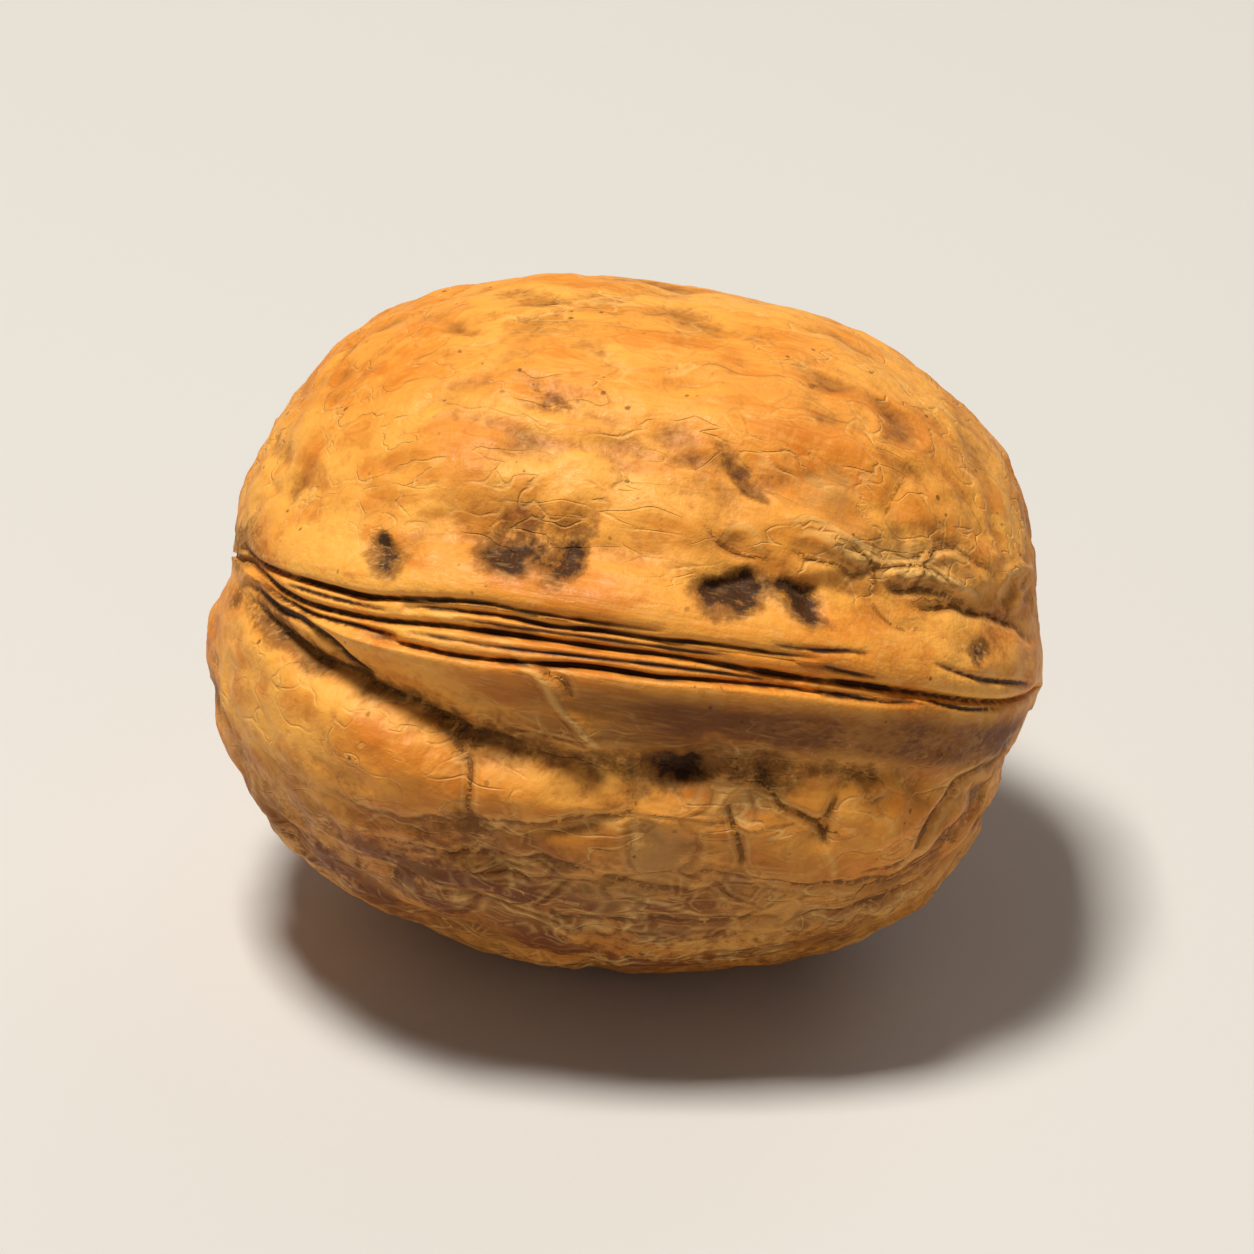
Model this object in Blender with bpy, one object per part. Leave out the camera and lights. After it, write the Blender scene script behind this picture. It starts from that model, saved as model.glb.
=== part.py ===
"""An English walnut in its shell, lying on its side.

The shell is one solid. It is worked out in the nut's own frame first, in millimetres: x runs from the
stem end to the pointed tip, y points away from the side that shows, and z points up across the seam.
`tau` runs along a meridian from the stem end (0) to the tip (pi), and `phi` runs round the nut from the
side that shows (0) over the top (90 degrees). Marks on the side that shows are placed by their distance
x along the nut and their drop v below its axis, as seen square on to that side. The far side is laid out
the same way, with the nut turned half way round its axis.
"""

import math

import bmesh
import bpy
import numpy as np
from mathutils import Matrix, Vector, noise

MM = 0.001

# The two ends of the axis, how far from it the stem's dimple and the tip's point reach, and the small
# sunken scar in the dimple.
STEM_X = -19.4
TIP_X = 19.5
STEM_DIMPLE = 2.2
SCAR_REACH = 1.1
SCAR_SINK = 0.5
TIP_POINT = 1.3

# Outline of each half and of the seam's own plane: where it is widest, where its curve ends at the stem
# and at the tip, its radius, and how full it is towards each end (2 is an ellipse).
UPPER_HALF = dict(widest=-1.0, stem=-20.2, tip=19.0, radius=16.15, stem_full=2.25, tip_full=2.5)
LOWER_HALF = dict(widest=-3.2, stem=-21.0, tip=18.5, radius=16.95, stem_full=2.2, tip_full=2.65)
SEAM_PLANE = dict(widest=-1.5, stem=-19.7, tip=19.0, radius=16.1, stem_full=2.2, tip_full=2.25)
SEAM_PLANE_TURN = math.radians(-5.9)

# The seam on the side that shows, as (x, size) along it: its course, the half width of the bundle of
# strands in it, the height of its two lips, and the valleys under and over them.
FRONT_SEAM = dict(
    course=[(-19.4, 0.0), (-17.0, 1.0), (-14.4, 1.6), (-10.0, 1.9), (-5.7, 1.75), (0.0, 1.7),
            (6.0, 1.5), (12.0, 1.3), (15.8, 1.25), (18.2, 0.7), (19.5, 0.0)],
    bundle=[(-19.4, 0.1), (-17.0, 0.7), (-14.0, 0.95), (-8.0, 1.2), (0.0, 0.9), (7.0, 0.75),
            (12.0, 0.4), (16.0, 0.15), (19.5, 0.05)],
    lip=[(-19.4, 0.1), (-17.0, 0.45), (-13.0, 0.8), (-6.0, 0.9), (4.0, 0.9), (12.0, 0.85),
         (17.0, 0.7), (18.8, 0.4), (19.5, 0.1)],
    lip_reach=1.9,
    upper_depth=[(-19.4, 0.0), (-14.0, 0.1), (-8.0, 0.35), (-1.0, 0.2), (4.0, 0.35), (9.0, 0.35),
                 (14.0, 0.45), (17.5, 0.2), (19.5, 0.0)],
    lower_valley=[(-19.4, 0.9), (-18.0, 2.4), (-17.0, 3.1), (-15.0, 4.3), (-12.5, 5.1), (-10.0, 5.9),
                  (-7.0, 6.9), (-3.5, 7.2), (0.0, 6.9), (3.0, 6.8), (6.6, 6.1), (11.0, 5.4),
                  (15.0, 5.1), (18.0, 4.0), (19.5, 1.5)],
    lower_depth=[(-19.4, 0.0), (-17.0, 0.7), (-14.0, 1.3), (-10.0, 1.45), (-5.0, 1.25), (0.0, 1.1),
                 (4.0, 1.1), (8.0, 0.85), (12.0, 0.6), (17.0, 0.35), (19.5, 0.0)],
    lower_reach=[(-19.4, 0.9), (-12.0, 1.1), (-4.0, 1.5), (6.0, 2.0), (19.5, 1.5)],
)

# The seam on the far side, which is narrower and more even.
BACK_SEAM = dict(
    course=[(-19.4, 0.0), (-16.0, 1.3), (-10.0, 1.5), (-3.0, 1.95), (4.0, 1.6), (11.0, 1.75),
            (16.5, 1.1), (19.5, 0.0)],
    bundle=[(-19.4, 0.1), (-16.0, 0.5), (-8.0, 0.7), (0.0, 0.55), (9.0, 0.35), (19.5, 0.05)],
    lip=[(-19.4, 0.1), (-16.0, 0.6), (-9.0, 1.05), (3.0, 1.1), (12.0, 0.95), (17.0, 0.6), (19.5, 0.1)],
    lip_reach=2.4,
    upper_depth=[(-19.4, 0.0), (-13.0, 0.1), (-5.0, 0.2), (6.0, 0.1), (13.0, 0.15), (19.5, 0.0)],
    lower_valley=[(-19.4, 0.9), (-16.0, 4.0), (-9.0, 5.4), (-1.0, 6.1), (7.0, 5.5), (14.0, 4.9),
                  (19.5, 1.5)],
    lower_depth=[(-19.4, 0.0), (-15.0, 0.25), (-7.0, 0.45), (2.0, 0.2), (10.0, 0.35), (19.5, 0.0)],
    lower_reach=[(-19.4, 0.8), (0.0, 1.6), (19.5, 1.3)],
)

VALLEY_EDGE = 1.05
BUNDLE_SINK = 0.2
UPPER_VALLEY_AT = 3.6
UPPER_VALLEY_REACH = 1.5

# Creases as a line of (x, v) points with its width and depth. A negative depth is a raised fold. The
# first ones on each side are the fissures between the strands of the seam.
FRONT_CREASES = [
    ([(-18.9, -0.4), (-17.0, 0.45), (-13.0, 0.9), (-9.0, 0.6), (-4.0, 0.6), (1.0, 0.6), (8.0, 0.5)],
     0.26, 0.5),
    ([(-18.9, 0.1), (-16.5, 1.4), (-14.0, 1.8), (-12.0, 1.9), (-6.0, 1.65), (0.0, 1.55), (6.0, 1.45),
      (12.0, 1.35), (16.0, 1.25), (18.0, 0.7), (19.2, 0.1)], 0.26, 0.55),
    ([(-18.9, 0.8), (-17.0, 1.9), (-15.0, 2.35), (-11.0, 2.75), (-5.5, 2.85), (-2.0, 2.5), (6.0, 2.1),
      (13.0, 1.75)], 0.26, 0.5),
    ([(-18.3, 1.4), (-16.5, 2.3), (-14.8, 2.9), (-13.6, 4.0), (-12.5, 4.8)], 0.4, 0.45),
    ([(-5.4, 2.9), (-4.2, 3.2), (-3.3, 4.4), (-2.1, 5.6), (-0.9, 6.6)], 0.36, -0.4),
    ([(-9.5, 6.5), (-7.2, 8.0), (-6.5, 9.7), (-6.3, 10.8)], 0.42, 0.4),
    ([(17.9, 3.7), (16.3, 5.2), (15.2, 6.7), (14.6, 8.0), (13.6, 9.4), (12.0, 10.2), (10.9, 10.4)],
     0.36, 0.35),
    ([(7.4, 7.4), (8.3, 8.0), (9.7, 8.4), (10.1, 9.0)], 0.36, 0.3),
    ([(9.8, 8.4), (10.1, 7.7), (10.3, 6.9)], 0.36, 0.22),
    ([(9.9, 8.6), (10.4, 9.7), (11.0, 10.9)], 0.34, -0.2),
    ([(7.2, 11.5), (9.1, 11.3), (10.7, 11.0), (13.4, 10.2), (15.0, 8.8), (16.4, 7.5), (17.6, 5.8)],
     0.38, 0.38),
    ([(9.0, 12.9), (10.9, 12.3), (13.1, 11.6), (15.2, 10.1), (16.8, 8.3)], 0.38, 0.38),
    ([(5.3, 8.3), (6.1, 9.6), (6.4, 11.0)], 0.38, 0.28),
    ([(-13.5, 9.9), (-9.5, 10.9), (-4.5, 10.4), (-0.5, 9.6), (1.3, 8.4)], 0.45, 0.3),
    ([(-12.0, 11.9), (-7.0, 12.4), (-2.0, 12.0), (2.5, 12.6), (7.0, 12.0)], 0.42, 0.28),
    ([(-8.0, 14.2), (-2.0, 14.6), (4.0, 14.0), (9.0, 12.9)], 0.45, 0.35),
    ([(5.9, -5.4), (6.8, -5.6), (8.7, -5.2), (10.6, -4.7)], 0.4, -0.35),
    ([(6.2, -4.9), (8.2, -4.5), (10.2, -3.9)], 0.38, 0.3),
    ([(11.0, -4.0), (12.7, -4.2), (14.2, -4.1), (15.9, -3.5)], 0.4, -0.35),
    ([(11.4, -3.3), (13.0, -3.5), (14.6, -3.4), (15.9, -2.9)], 0.38, 0.3),
    ([(10.4, -3.0), (11.1, -2.1), (12.0, -1.6), (13.3, -1.7)], 0.38, 0.25),
    ([(12.6, -2.5), (14.5, -2.9), (17.0, -2.6), (18.3, -1.8)], 0.38, 0.35),
    ([(11.0, -5.2), (12.3, -5.0), (13.4, -5.6), (15.0, -5.4), (16.2, -4.4)], 0.38, 0.3),
    ([(1.9, -5.0), (3.4, -4.1), (5.6, -3.9)], 0.4, 0.2),
    ([(5.2, -2.8), (6.5, -1.8), (8.1, -0.9)], 0.34, -0.25),
]
BACK_CREASES = [
    ([(-18.9, 0.1), (-15.0, 1.3), (-8.0, 1.3), (-2.0, 1.75), (5.0, 1.5), (12.0, 1.6), (16.5, 1.1),
      (19.2, 0.1)], 0.28, 0.5),
    ([(-17.5, 1.2), (-13.0, 1.9), (-8.0, 2.05), (-1.0, 2.25), (6.0, 1.75)], 0.26, 0.4),
    ([(-16.0, 8.0), (-12.0, 10.0), (-7.0, 10.6), (-2.0, 9.4)], 0.5, 0.35),
    ([(1.0, 11.5), (5.5, 9.6), (10.5, 8.8), (15.0, 6.0)], 0.5, 0.4),
    ([(-15.0, -5.5), (-10.0, -7.6), (-4.0, -7.4), (1.0, -5.8)], 0.5, 0.35),
    ([(4.0, -8.6), (9.0, -8.2), (13.0, -6.4), (16.5, -3.6)], 0.45, 0.35),
    ([(-8.0, 10.4), (-7.0, 12.0), (-4.6, 13.2)], 0.45, 0.3),
    ([(-4.0, -7.4), (-3.4, -9.6), (-0.8, -11.6)], 0.45, 0.3),
]

# Pits: x, v, half length, half width, turn in degrees, depth.
FRONT_PITS = [
    (-12.1, -1.1, 1.1, 0.8, 20, 0.5),
    (-5.6, -2.8, 3.8, 1.7, 0, 0.3),
    (-7.1, -2.3, 1.4, 0.9, 0, 0.45),
    (-3.9, -2.6, 0.9, 1.2, 15, 0.45),
    (3.6, -2.4, 2.8, 1.4, -8, 0.3),
    (3.9, -2.1, 1.6, 0.8, -15, 0.55),
    (7.2, -2.2, 1.5, 0.6, 38, 0.6),
    (3.4, -7.4, 1.8, 0.4, 33, 0.3),
    (-5.6, -9.6, 1.5, 0.5, 0, 0.2),
    (3.0, 6.9, 1.5, 0.9, 10, 0.5),
    (7.2, 6.6, 1.3, 0.8, 0, 0.35),
    (15.5, -1.0, 0.7, 0.5, 0, 0.2),
    (-6.5, 11.6, 2.0, 0.7, 5, 0.25),
    (-9.4, 13.6, 1.2, 0.6, 0, 0.25),
]
BACK_PITS = [
    (-9.5, -2.2, 1.7, 0.8, -10, 0.6),
    (-3.0, -2.8, 1.0, 0.8, 20, 0.45),
    (5.5, -2.3, 1.3, 0.7, 15, 0.5),
    (10.5, 6.0, 1.6, 0.7, -15, 0.45),
    (-5.5, 6.6, 1.9, 0.8, 8, 0.5),
    (0.5, -9.0, 1.4, 0.5, 40, 0.3),
    (-11.0, 9.5, 1.2, 0.6, -30, 0.3),
]

# Swellings: x, v, reach along, reach across, turn in degrees, height.
FRONT_SWELLINGS = [
    (-12.0, 8.6, 5.4, 3.0, 12, 0.6),
    (-18.0, 5.0, 2.6, 3.0, 0, 0.3),
    (15.3, -1.4, 2.4, 1.3, 0, 0.4),
    (-0.3, -1.2, 2.4, 1.1, 0, 0.25),
    (12.6, 8.0, 2.6, 1.9, -15, 0.35),
    (9.6, -9.1, 1.9, 1.7, 0, 0.2),
    (3.6, 9.3, 1.7, 1.3, 0, 0.25),
    (8.5, 10.3, 1.5, 1.2, 0, 0.2),
]
BACK_SWELLINGS = [
    (8.5, 11.6, 4.0, 2.2, 10, 0.35),
    (-13.0, -8.5, 3.4, 2.2, 10, 0.3),
    (3.0, -7.6, 3.0, 2.0, 0, 0.35),
    (-11.0, 7.8, 3.4, 1.8, -10, 0.35),
]

# Calm patches, where the net hardly shows: x, v, reach along, reach across, turn in degrees, share lost.
CALM_PATCHES = [
    (-15.0, 7.2, 8.0, 4.5, 15, 0.8),
    (13.5, 8.5, 4.8, 3.6, -30, 0.75),
    (-3.5, 9.0, 3.6, 1.1, 0, 0.5),
]

# Furrows that run from end to end: phi in degrees, width, depth.
FURROWS = [
    (56, 0.8, 0.15), (84, 0.8, 0.25), (112, 0.9, 0.5), (139, 0.8, 0.4),
    (-48, 0.8, 0.2), (-74, 0.9, 0.35), (-103, 0.9, 0.5), (-134, 0.8, 0.4),
]
FURROW_WANDER = 2.6

# The low swell and the smaller lumps of the whole surface, and the net of grooves between its cells.
SWELL_SIZE = 8.0
SWELL_HEIGHT = 0.45
LUMP_SIZE = 3.0
LUMP_STRETCH = 1.8
LUMP_HEIGHT = 0.17
NET_CELL = 4.2
NET_STRETCH = 1.7
NET_WOBBLE = 1.1
NET_GROOVE = 0.55
NET_DEPTH = 0.5

# How strongly the net and the furrows show: on the lips, on the upper and lower half of the side that
# shows, and on the far side.
LIP_SHARE = 0.2
UPPER_SHARE = 0.3
LOWER_SHARE = 0.5
FAR_SHARE = 1.0

# The wrinkles that gather towards both ends, and the crumpled patch over the lip near the tip.
END_RAYS = 3.2
END_RAY_DEPTH = 0.36
CRUMPLE = dict(x=11.5, v=-4.6, reach_x=5.5, reach_v=1.9, height=0.5)

# How the nut lies: turned back until its seam faces the eye, tip dipped a little, then moved so that its
# box is centred on the origin. Under its middle it is worn to a small flat, which runs out at the edge.
TURN_BACK = math.radians(34.0)
DIP = math.radians(7.0)
LAY_SHIFT = Vector((0.71, 0.23, 16.5))
FLAT_RADIUS = 3.6
FLAT_EDGE = 7.5
FLAT_REACH_UP = 2.5

# The mesh. Columns run from end to end and crowd together along the two seams.
COLUMNS = 112
RINGS = 52
FRONT_CROWDING = 2.4
BACK_CROWDING = 1.5
CROWDING_REACH = 0.16

SHELL_COLOUR = (0.62, 0.33, 0.12, 1.0)
SHELL_ROUGHNESS = 0.6


def along(points, x):
    """A smooth curve through (x, value) points, read at every x."""
    px, py = np.array(points, float).T
    slope = np.gradient(py, px)
    x = np.clip(x, px[0], px[-1])
    i = np.clip(np.searchsorted(px, x) - 1, 0, len(px) - 2)
    step = px[i + 1] - px[i]
    t = (x - px[i]) / step
    return (
        (2 * t**3 - 3 * t**2 + 1) * py[i]
        + (t**3 - 2 * t**2 + t) * step * slope[i]
        + (3 * t**2 - 2 * t**3) * py[i + 1]
        + (t**3 - t**2) * step * slope[i + 1]
    )


def ramp(low, high, x):
    """0 below low, 1 above high, and smooth between."""
    t = np.clip((x - low) / (high - low), 0, 1)
    return t * t * (3 - 2 * t)


def hill(x, reach):
    """1 at the middle, falling away smoothly over the reach."""
    return np.exp(-((x / reach) ** 2))


def angle_gap(phi, at):
    """Angle from `at` to phi, the short way round."""
    return np.angle(np.exp(1j * (phi - at)))


def smooth_noise(points, size, seed):
    """Noise between about -1 and 1 whose features are `size` across."""
    shift = Vector((7.3, 3.1, 5.7)) * seed
    return np.array([noise.noise(Vector(p) / size + shift) for p in points])


def cell_edge(points, size, seed):
    """Distance from the nearest border between cells that are `size` across."""
    shift = Vector((1.9, 8.3, 4.1)) * seed
    nearest = [noise.voronoi(Vector(p) / size + shift)[0] for p in points]
    return np.array([(second - first) * size / 2 for first, second, *_ in nearest])


def outline(half, tau):
    """x and radius of one outline at tau."""
    run = np.cos(tau)
    stemward = run > 0
    full = np.where(stemward, half["stem_full"], half["tip_full"])
    end = np.where(stemward, half["stem"], half["tip"])
    x = half["widest"] + (end - half["widest"]) * np.abs(run)
    return x, half["radius"] * (1 - np.abs(run) ** full) ** (1 / full)


def bare_shell(tau, phi):
    """Points of the shell before any relief."""
    lean = np.sin(phi - SEAM_PLANE_TURN)
    seam_x, seam_radius = outline(SEAM_PLANE, tau)
    upper_x, upper_radius = outline(UPPER_HALF, tau)
    lower_x, lower_radius = outline(LOWER_HALF, tau)
    x = seam_x + lean**2 * (np.where(lean > 0, upper_x, lower_x) - seam_x)
    radius = seam_radius + lean**2 * (np.where(lean > 0, upper_radius, lower_radius) - seam_radius)
    stemward = tau < math.pi / 2
    near_axis = np.where(stemward, hill(radius, STEM_DIMPLE), np.exp(-radius / TIP_POINT))
    x = x + (np.where(stemward, STEM_X, TIP_X) - x) * near_axis
    return np.stack([x, -radius * np.cos(phi), radius * np.sin(phi)], axis=-1)


def outward(tau, phi):
    """Unit normals of the bare shell."""
    step = 0.01
    inner = np.clip(tau, 2 * step, math.pi - 2 * step)
    lengthways = bare_shell(inner + step, phi) - bare_shell(inner - step, phi)
    sideways = bare_shell(inner, phi + step) - bare_shell(inner, phi - step)
    normal = np.cross(lengthways, sideways)
    return normal / np.linalg.norm(normal, axis=1)[:, None]


def seam_relief(x, v, seam):
    """Height of the two lips, the sunk bundle between them and the valleys beside them."""
    course = along(seam["course"], x)
    bundle = along(seam["bundle"], x)
    lip = along(seam["lip"], x)
    above = course - v - bundle
    below = v - course - bundle

    depth = along(seam["lower_depth"], x)
    valley = np.maximum(along(seam["lower_valley"], x) - course - bundle, 0.4)
    face = lip - (lip + depth) * np.clip(below / valley, 0, 1) ** VALLEY_EDGE
    past_valley = -depth * hill(below - valley, along(seam["lower_reach"], x))
    lower = np.where(below > valley, past_valley, face)

    upper = lip * hill(np.maximum(above - 0.4, 0), seam["lip_reach"])
    upper = upper - along(seam["upper_depth"], x) * hill(above - UPPER_VALLEY_AT, UPPER_VALLEY_REACH)
    height = np.where(v > course, lower, upper)
    return np.where(np.maximum(above, below) < 0, lip - BUNDLE_SINK, height)


def line_gap(x, v, course):
    """Distance from a smooth line, and the place along it (0 to 1) that is nearest."""
    knots = np.arange(len(course))
    fine = np.linspace(0, knots[-1], 4 * len(course))
    line_x = along([(k, point[0]) for k, point in zip(knots, course)], fine)
    line_v = along([(k, point[1]) for k, point in zip(knots, course)], fine)
    nearest = np.full(len(x), np.inf)
    place = np.zeros(len(x))
    for i in range(len(fine) - 1):
        run_x = line_x[i + 1] - line_x[i]
        run_v = line_v[i + 1] - line_v[i]
        t = ((x - line_x[i]) * run_x + (v - line_v[i]) * run_v) / (run_x**2 + run_v**2)
        t = np.clip(t, 0, 1)
        gap = np.hypot(x - line_x[i] - t * run_x, v - line_v[i] - t * run_v)
        closer = gap < nearest
        nearest = np.where(closer, gap, nearest)
        place = np.where(closer, (i + t) / (len(fine) - 1), place)
    return nearest, place


def crease_relief(x, v, creases):
    """Height of every crease, which is deepest in the middle of its length."""
    height = np.zeros_like(x)
    for course, width, depth in creases:
        gap, place = line_gap(x, v, course)
        height = height - depth * hill(gap, width) * np.sin(np.pi * place) ** 0.3
    return height


def spots(x, v, marks):
    """Height of a set of rounded marks, each flat in the middle and soft at its rim."""
    height = np.zeros_like(x)
    for at_x, at_v, half_length, half_width, turn, mark_height in marks:
        c, s = math.cos(math.radians(turn)), math.sin(math.radians(turn))
        lengthways = ((x - at_x) * c + (v - at_v) * s) / half_length
        crossways = ((v - at_v) * c - (x - at_x) * s) / half_width
        height = height + mark_height * np.exp(-((lengthways**2 + crossways**2) ** 1.3))
    return height


def crumpled(x, v):
    """Parallel folds in the patch over the lip near the tip."""
    reach = hill(x - CRUMPLE["x"], CRUMPLE["reach_x"]) * hill(v - CRUMPLE["v"], CRUMPLE["reach_v"])
    folds = np.stack([x / 4.0, v * 0.9 + x * 0.25, np.zeros_like(x)], axis=-1)
    return CRUMPLE["height"] * reach * smooth_noise(folds, 1.0, 7)


def side_relief(x, v, facing, seam, creases, pits, swellings):
    """Relief of the marks that belong to one side, faded out towards its limb."""
    height = seam_relief(x, v, seam) + crease_relief(x, v, creases)
    height = height + spots(x, v, swellings) - spots(x, v, pits)
    return height * ramp(0.0, 0.4, facing)


def furrow_relief(points, phi, radius):
    """Grooves that wander from end to end and fade in and out."""
    wander = FURROW_WANDER * smooth_noise(points * np.array([1, 0.3, 0.3]), 7.0, 3)
    shown = ramp(-0.4, 0.2, smooth_noise(points, 9.0, 4))
    height = np.zeros_like(phi)
    for angle, width, depth in FURROWS:
        gap = angle_gap(phi, math.radians(angle)) * radius + wander
        height = height - depth * shown * hill(gap, width)
    return height


def net_relief(points):
    """Grooves between the cells, which are longer along the nut than across."""
    wobble = NET_WOBBLE * smooth_noise(points, 5.0, 1)
    stretched = points / np.array([NET_STRETCH, 1, 1]) + wobble[:, None]
    return -NET_DEPTH * hill(cell_edge(stretched, NET_CELL, 2), NET_GROOVE)


def end_relief(x, phi, radius):
    """Wrinkles that gather towards both ends."""
    rays = np.stack([x / 9, END_RAYS * np.cos(phi), END_RAYS * np.sin(phi)], axis=-1)
    near_end = ramp(10.0, 17.0, np.abs(x)) * ramp(1.0, 4.5, radius)
    return END_RAY_DEPTH * near_end * smooth_noise(rays, 1.0, 5)


def off_the_lips(phi, radius):
    """0 on the lips of either seam, 1 well away from both."""
    off = np.ones_like(phi)
    for seam_at in (SEAM_PLANE_TURN, SEAM_PLANE_TURN + math.pi):
        off = np.minimum(off, ramp(1.5, 5.0, np.abs(angle_gap(phi, seam_at)) * radius))
    return off


def roughness_share(z, phi, off_lips):
    """How strongly the net and the furrows show at each point."""
    shown_side = np.where(z > 0, UPPER_SHARE, LOWER_SHARE)
    share = FAR_SHARE + (shown_side - FAR_SHARE) * ramp(-0.7, -0.1, np.cos(phi))
    return share * (LIP_SHARE + (1 - LIP_SHARE) * off_lips)


def lump_relief(points, off_lips):
    """Small lumps, longer along the nut than across, which stay low on the lips."""
    stretched = points / np.array([LUMP_STRETCH, 1, 1])
    share = LIP_SHARE + (1 - LIP_SHARE) * off_lips
    return LUMP_HEIGHT * smooth_noise(stretched, LUMP_SIZE, 17) * share


def shell_relief(points, phi):
    """Height to add along the normal at each point of the bare shell."""
    x, y, z = points.T
    radius = np.hypot(y, z)
    facing = np.cos(phi)
    off_lips = off_the_lips(phi, radius)
    height = SWELL_HEIGHT * smooth_noise(points, SWELL_SIZE, 6) + lump_relief(points, off_lips)
    grown = net_relief(points) + furrow_relief(points, phi, radius) + end_relief(x, phi, radius)
    calm = spots(x, -z, CALM_PATCHES) * ramp(0.0, 0.4, facing)
    height = height + grown * roughness_share(z, phi, off_lips) * (1 - calm)
    height = height + crumpled(x, -z) * ramp(0.0, 0.4, facing)
    height = height + side_relief(x, -z, facing, FRONT_SEAM, FRONT_CREASES, FRONT_PITS, FRONT_SWELLINGS)
    height = height + side_relief(x, z, -facing, BACK_SEAM, BACK_CREASES, BACK_PITS, BACK_SWELLINGS)
    scar = np.where(x < 0, -SCAR_SINK * hill(radius, SCAR_REACH), 0)
    return height * ramp(0.0, 1.6, radius) + scar


def shell_points(tau, phi):
    """Finished points of the shell in the nut's own frame."""
    bare = bare_shell(tau, phi)
    return bare + outward(tau, phi) * shell_relief(bare, phi)[:, None]


def column_angles(place):
    """Angle round from the seam for places 0 to 1 round the nut, closer together at both seams."""
    angle = np.linspace(-math.pi, math.pi, 2001)
    density = 1 + FRONT_CROWDING * hill(angle, CROWDING_REACH)
    density = density + BACK_CROWDING * hill(math.pi - np.abs(angle), CROWDING_REACH)
    passed = np.concatenate([[0], np.cumsum((density[1:] + density[:-1]) / 2)])
    return np.interp(place, passed / passed[-1], angle)


def seam_angle(tau, seam):
    """Angle by which a seam lies off the middle of its side."""
    x, radius = outline(SEAM_PLANE, tau)
    return -np.arcsin(np.clip(along(seam["course"], x) / np.maximum(radius, MM), -0.3, 0.3))


def laid_down(points):
    """The nut's points as it lies, with the small flat that it rests on."""
    turn = Matrix.Rotation(DIP, 3, "Y") @ Matrix.Rotation(-TURN_BACK, 3, "X")
    placed = points @ np.array(turn).T + np.array(LAY_SHIFT)
    x, y, z = placed.T
    off_flat = ramp(FLAT_RADIUS, FLAT_EDGE, np.hypot(x, y))
    z = np.where(z < FLAT_REACH_UP, z * off_flat, z)
    return np.stack([x, y, np.maximum(z, 0)], axis=-1)


def make_shell():
    """A sphere whose rings and columns are moved onto the shell."""
    bm = bmesh.new()
    bmesh.ops.create_uvsphere(bm, u_segments=COLUMNS, v_segments=RINGS, radius=1)
    unit = np.array([v.co for v in bm.verts])
    tau = np.arccos(np.clip(unit[:, 2], -1, 1))
    angle = column_angles(np.arctan2(unit[:, 1], unit[:, 0]) / (2 * math.pi) + 0.5)
    front_share = np.cos(angle / 2) ** 2
    phi = angle + front_share * seam_angle(tau, FRONT_SEAM)
    phi = phi + (1 - front_share) * seam_angle(tau, BACK_SEAM)
    placed = laid_down(shell_points(tau, phi)) * MM
    for vertex, point in zip(bm.verts, placed):
        vertex.co = point
    bmesh.ops.recalc_face_normals(bm, faces=bm.faces)
    mesh = bpy.data.meshes.new("walnut")
    bm.to_mesh(mesh)
    bm.free()
    mesh.shade_smooth()
    return mesh


def shell_material():
    """Plain dry shell."""
    material = bpy.data.materials.new("walnut_shell")
    material.use_nodes = True
    shader = material.node_tree.nodes["Principled BSDF"]
    shader.inputs["Base Color"].default_value = SHELL_COLOUR
    shader.inputs["Roughness"].default_value = SHELL_ROUGHNESS
    shader.inputs["Metallic"].default_value = 0.0
    return material


def main():
    for obj in list(bpy.data.objects):
        bpy.data.objects.remove(obj)
    walnut = bpy.data.objects.new("walnut", make_shell())
    walnut.data.materials.append(shell_material())
    bpy.context.scene.collection.objects.link(walnut)


main()
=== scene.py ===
import math

import bmesh
import bpy
import numpy as np
from mathutils import Matrix, Vector, noise


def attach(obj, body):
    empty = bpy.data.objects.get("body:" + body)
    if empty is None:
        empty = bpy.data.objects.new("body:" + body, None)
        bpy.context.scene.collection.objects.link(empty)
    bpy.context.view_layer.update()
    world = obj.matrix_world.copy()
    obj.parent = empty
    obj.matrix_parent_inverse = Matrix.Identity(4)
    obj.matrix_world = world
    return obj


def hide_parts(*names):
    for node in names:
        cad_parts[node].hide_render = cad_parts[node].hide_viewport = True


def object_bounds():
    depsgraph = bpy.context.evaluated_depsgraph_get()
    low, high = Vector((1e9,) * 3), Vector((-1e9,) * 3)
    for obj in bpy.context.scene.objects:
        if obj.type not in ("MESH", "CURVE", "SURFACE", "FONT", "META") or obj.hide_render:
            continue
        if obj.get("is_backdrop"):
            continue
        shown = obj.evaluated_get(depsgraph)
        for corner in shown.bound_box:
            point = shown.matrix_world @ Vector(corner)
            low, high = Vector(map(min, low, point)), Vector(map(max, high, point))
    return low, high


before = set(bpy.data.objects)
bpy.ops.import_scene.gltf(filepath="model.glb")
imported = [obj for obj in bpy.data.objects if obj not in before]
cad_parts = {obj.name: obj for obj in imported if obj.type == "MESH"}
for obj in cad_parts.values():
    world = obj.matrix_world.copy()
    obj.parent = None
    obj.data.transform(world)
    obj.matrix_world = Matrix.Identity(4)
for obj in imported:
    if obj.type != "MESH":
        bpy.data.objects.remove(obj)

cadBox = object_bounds()

# The nut is worked out in its own frame, in millimetres: x runs from the stem end to the tip, y points
# away from the seam that shows, z points up across it. tau runs from the stem end (0) to the tip (pi),
# phi runs round from the seam that shows (0) over the top (90 degrees). A mark on that side is placed by
# its distance x along the nut and its drop v below the axis. The far side is laid out the same way, with
# the nut turned half way round.

mm = 0.001
farOff = 3.0

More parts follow.
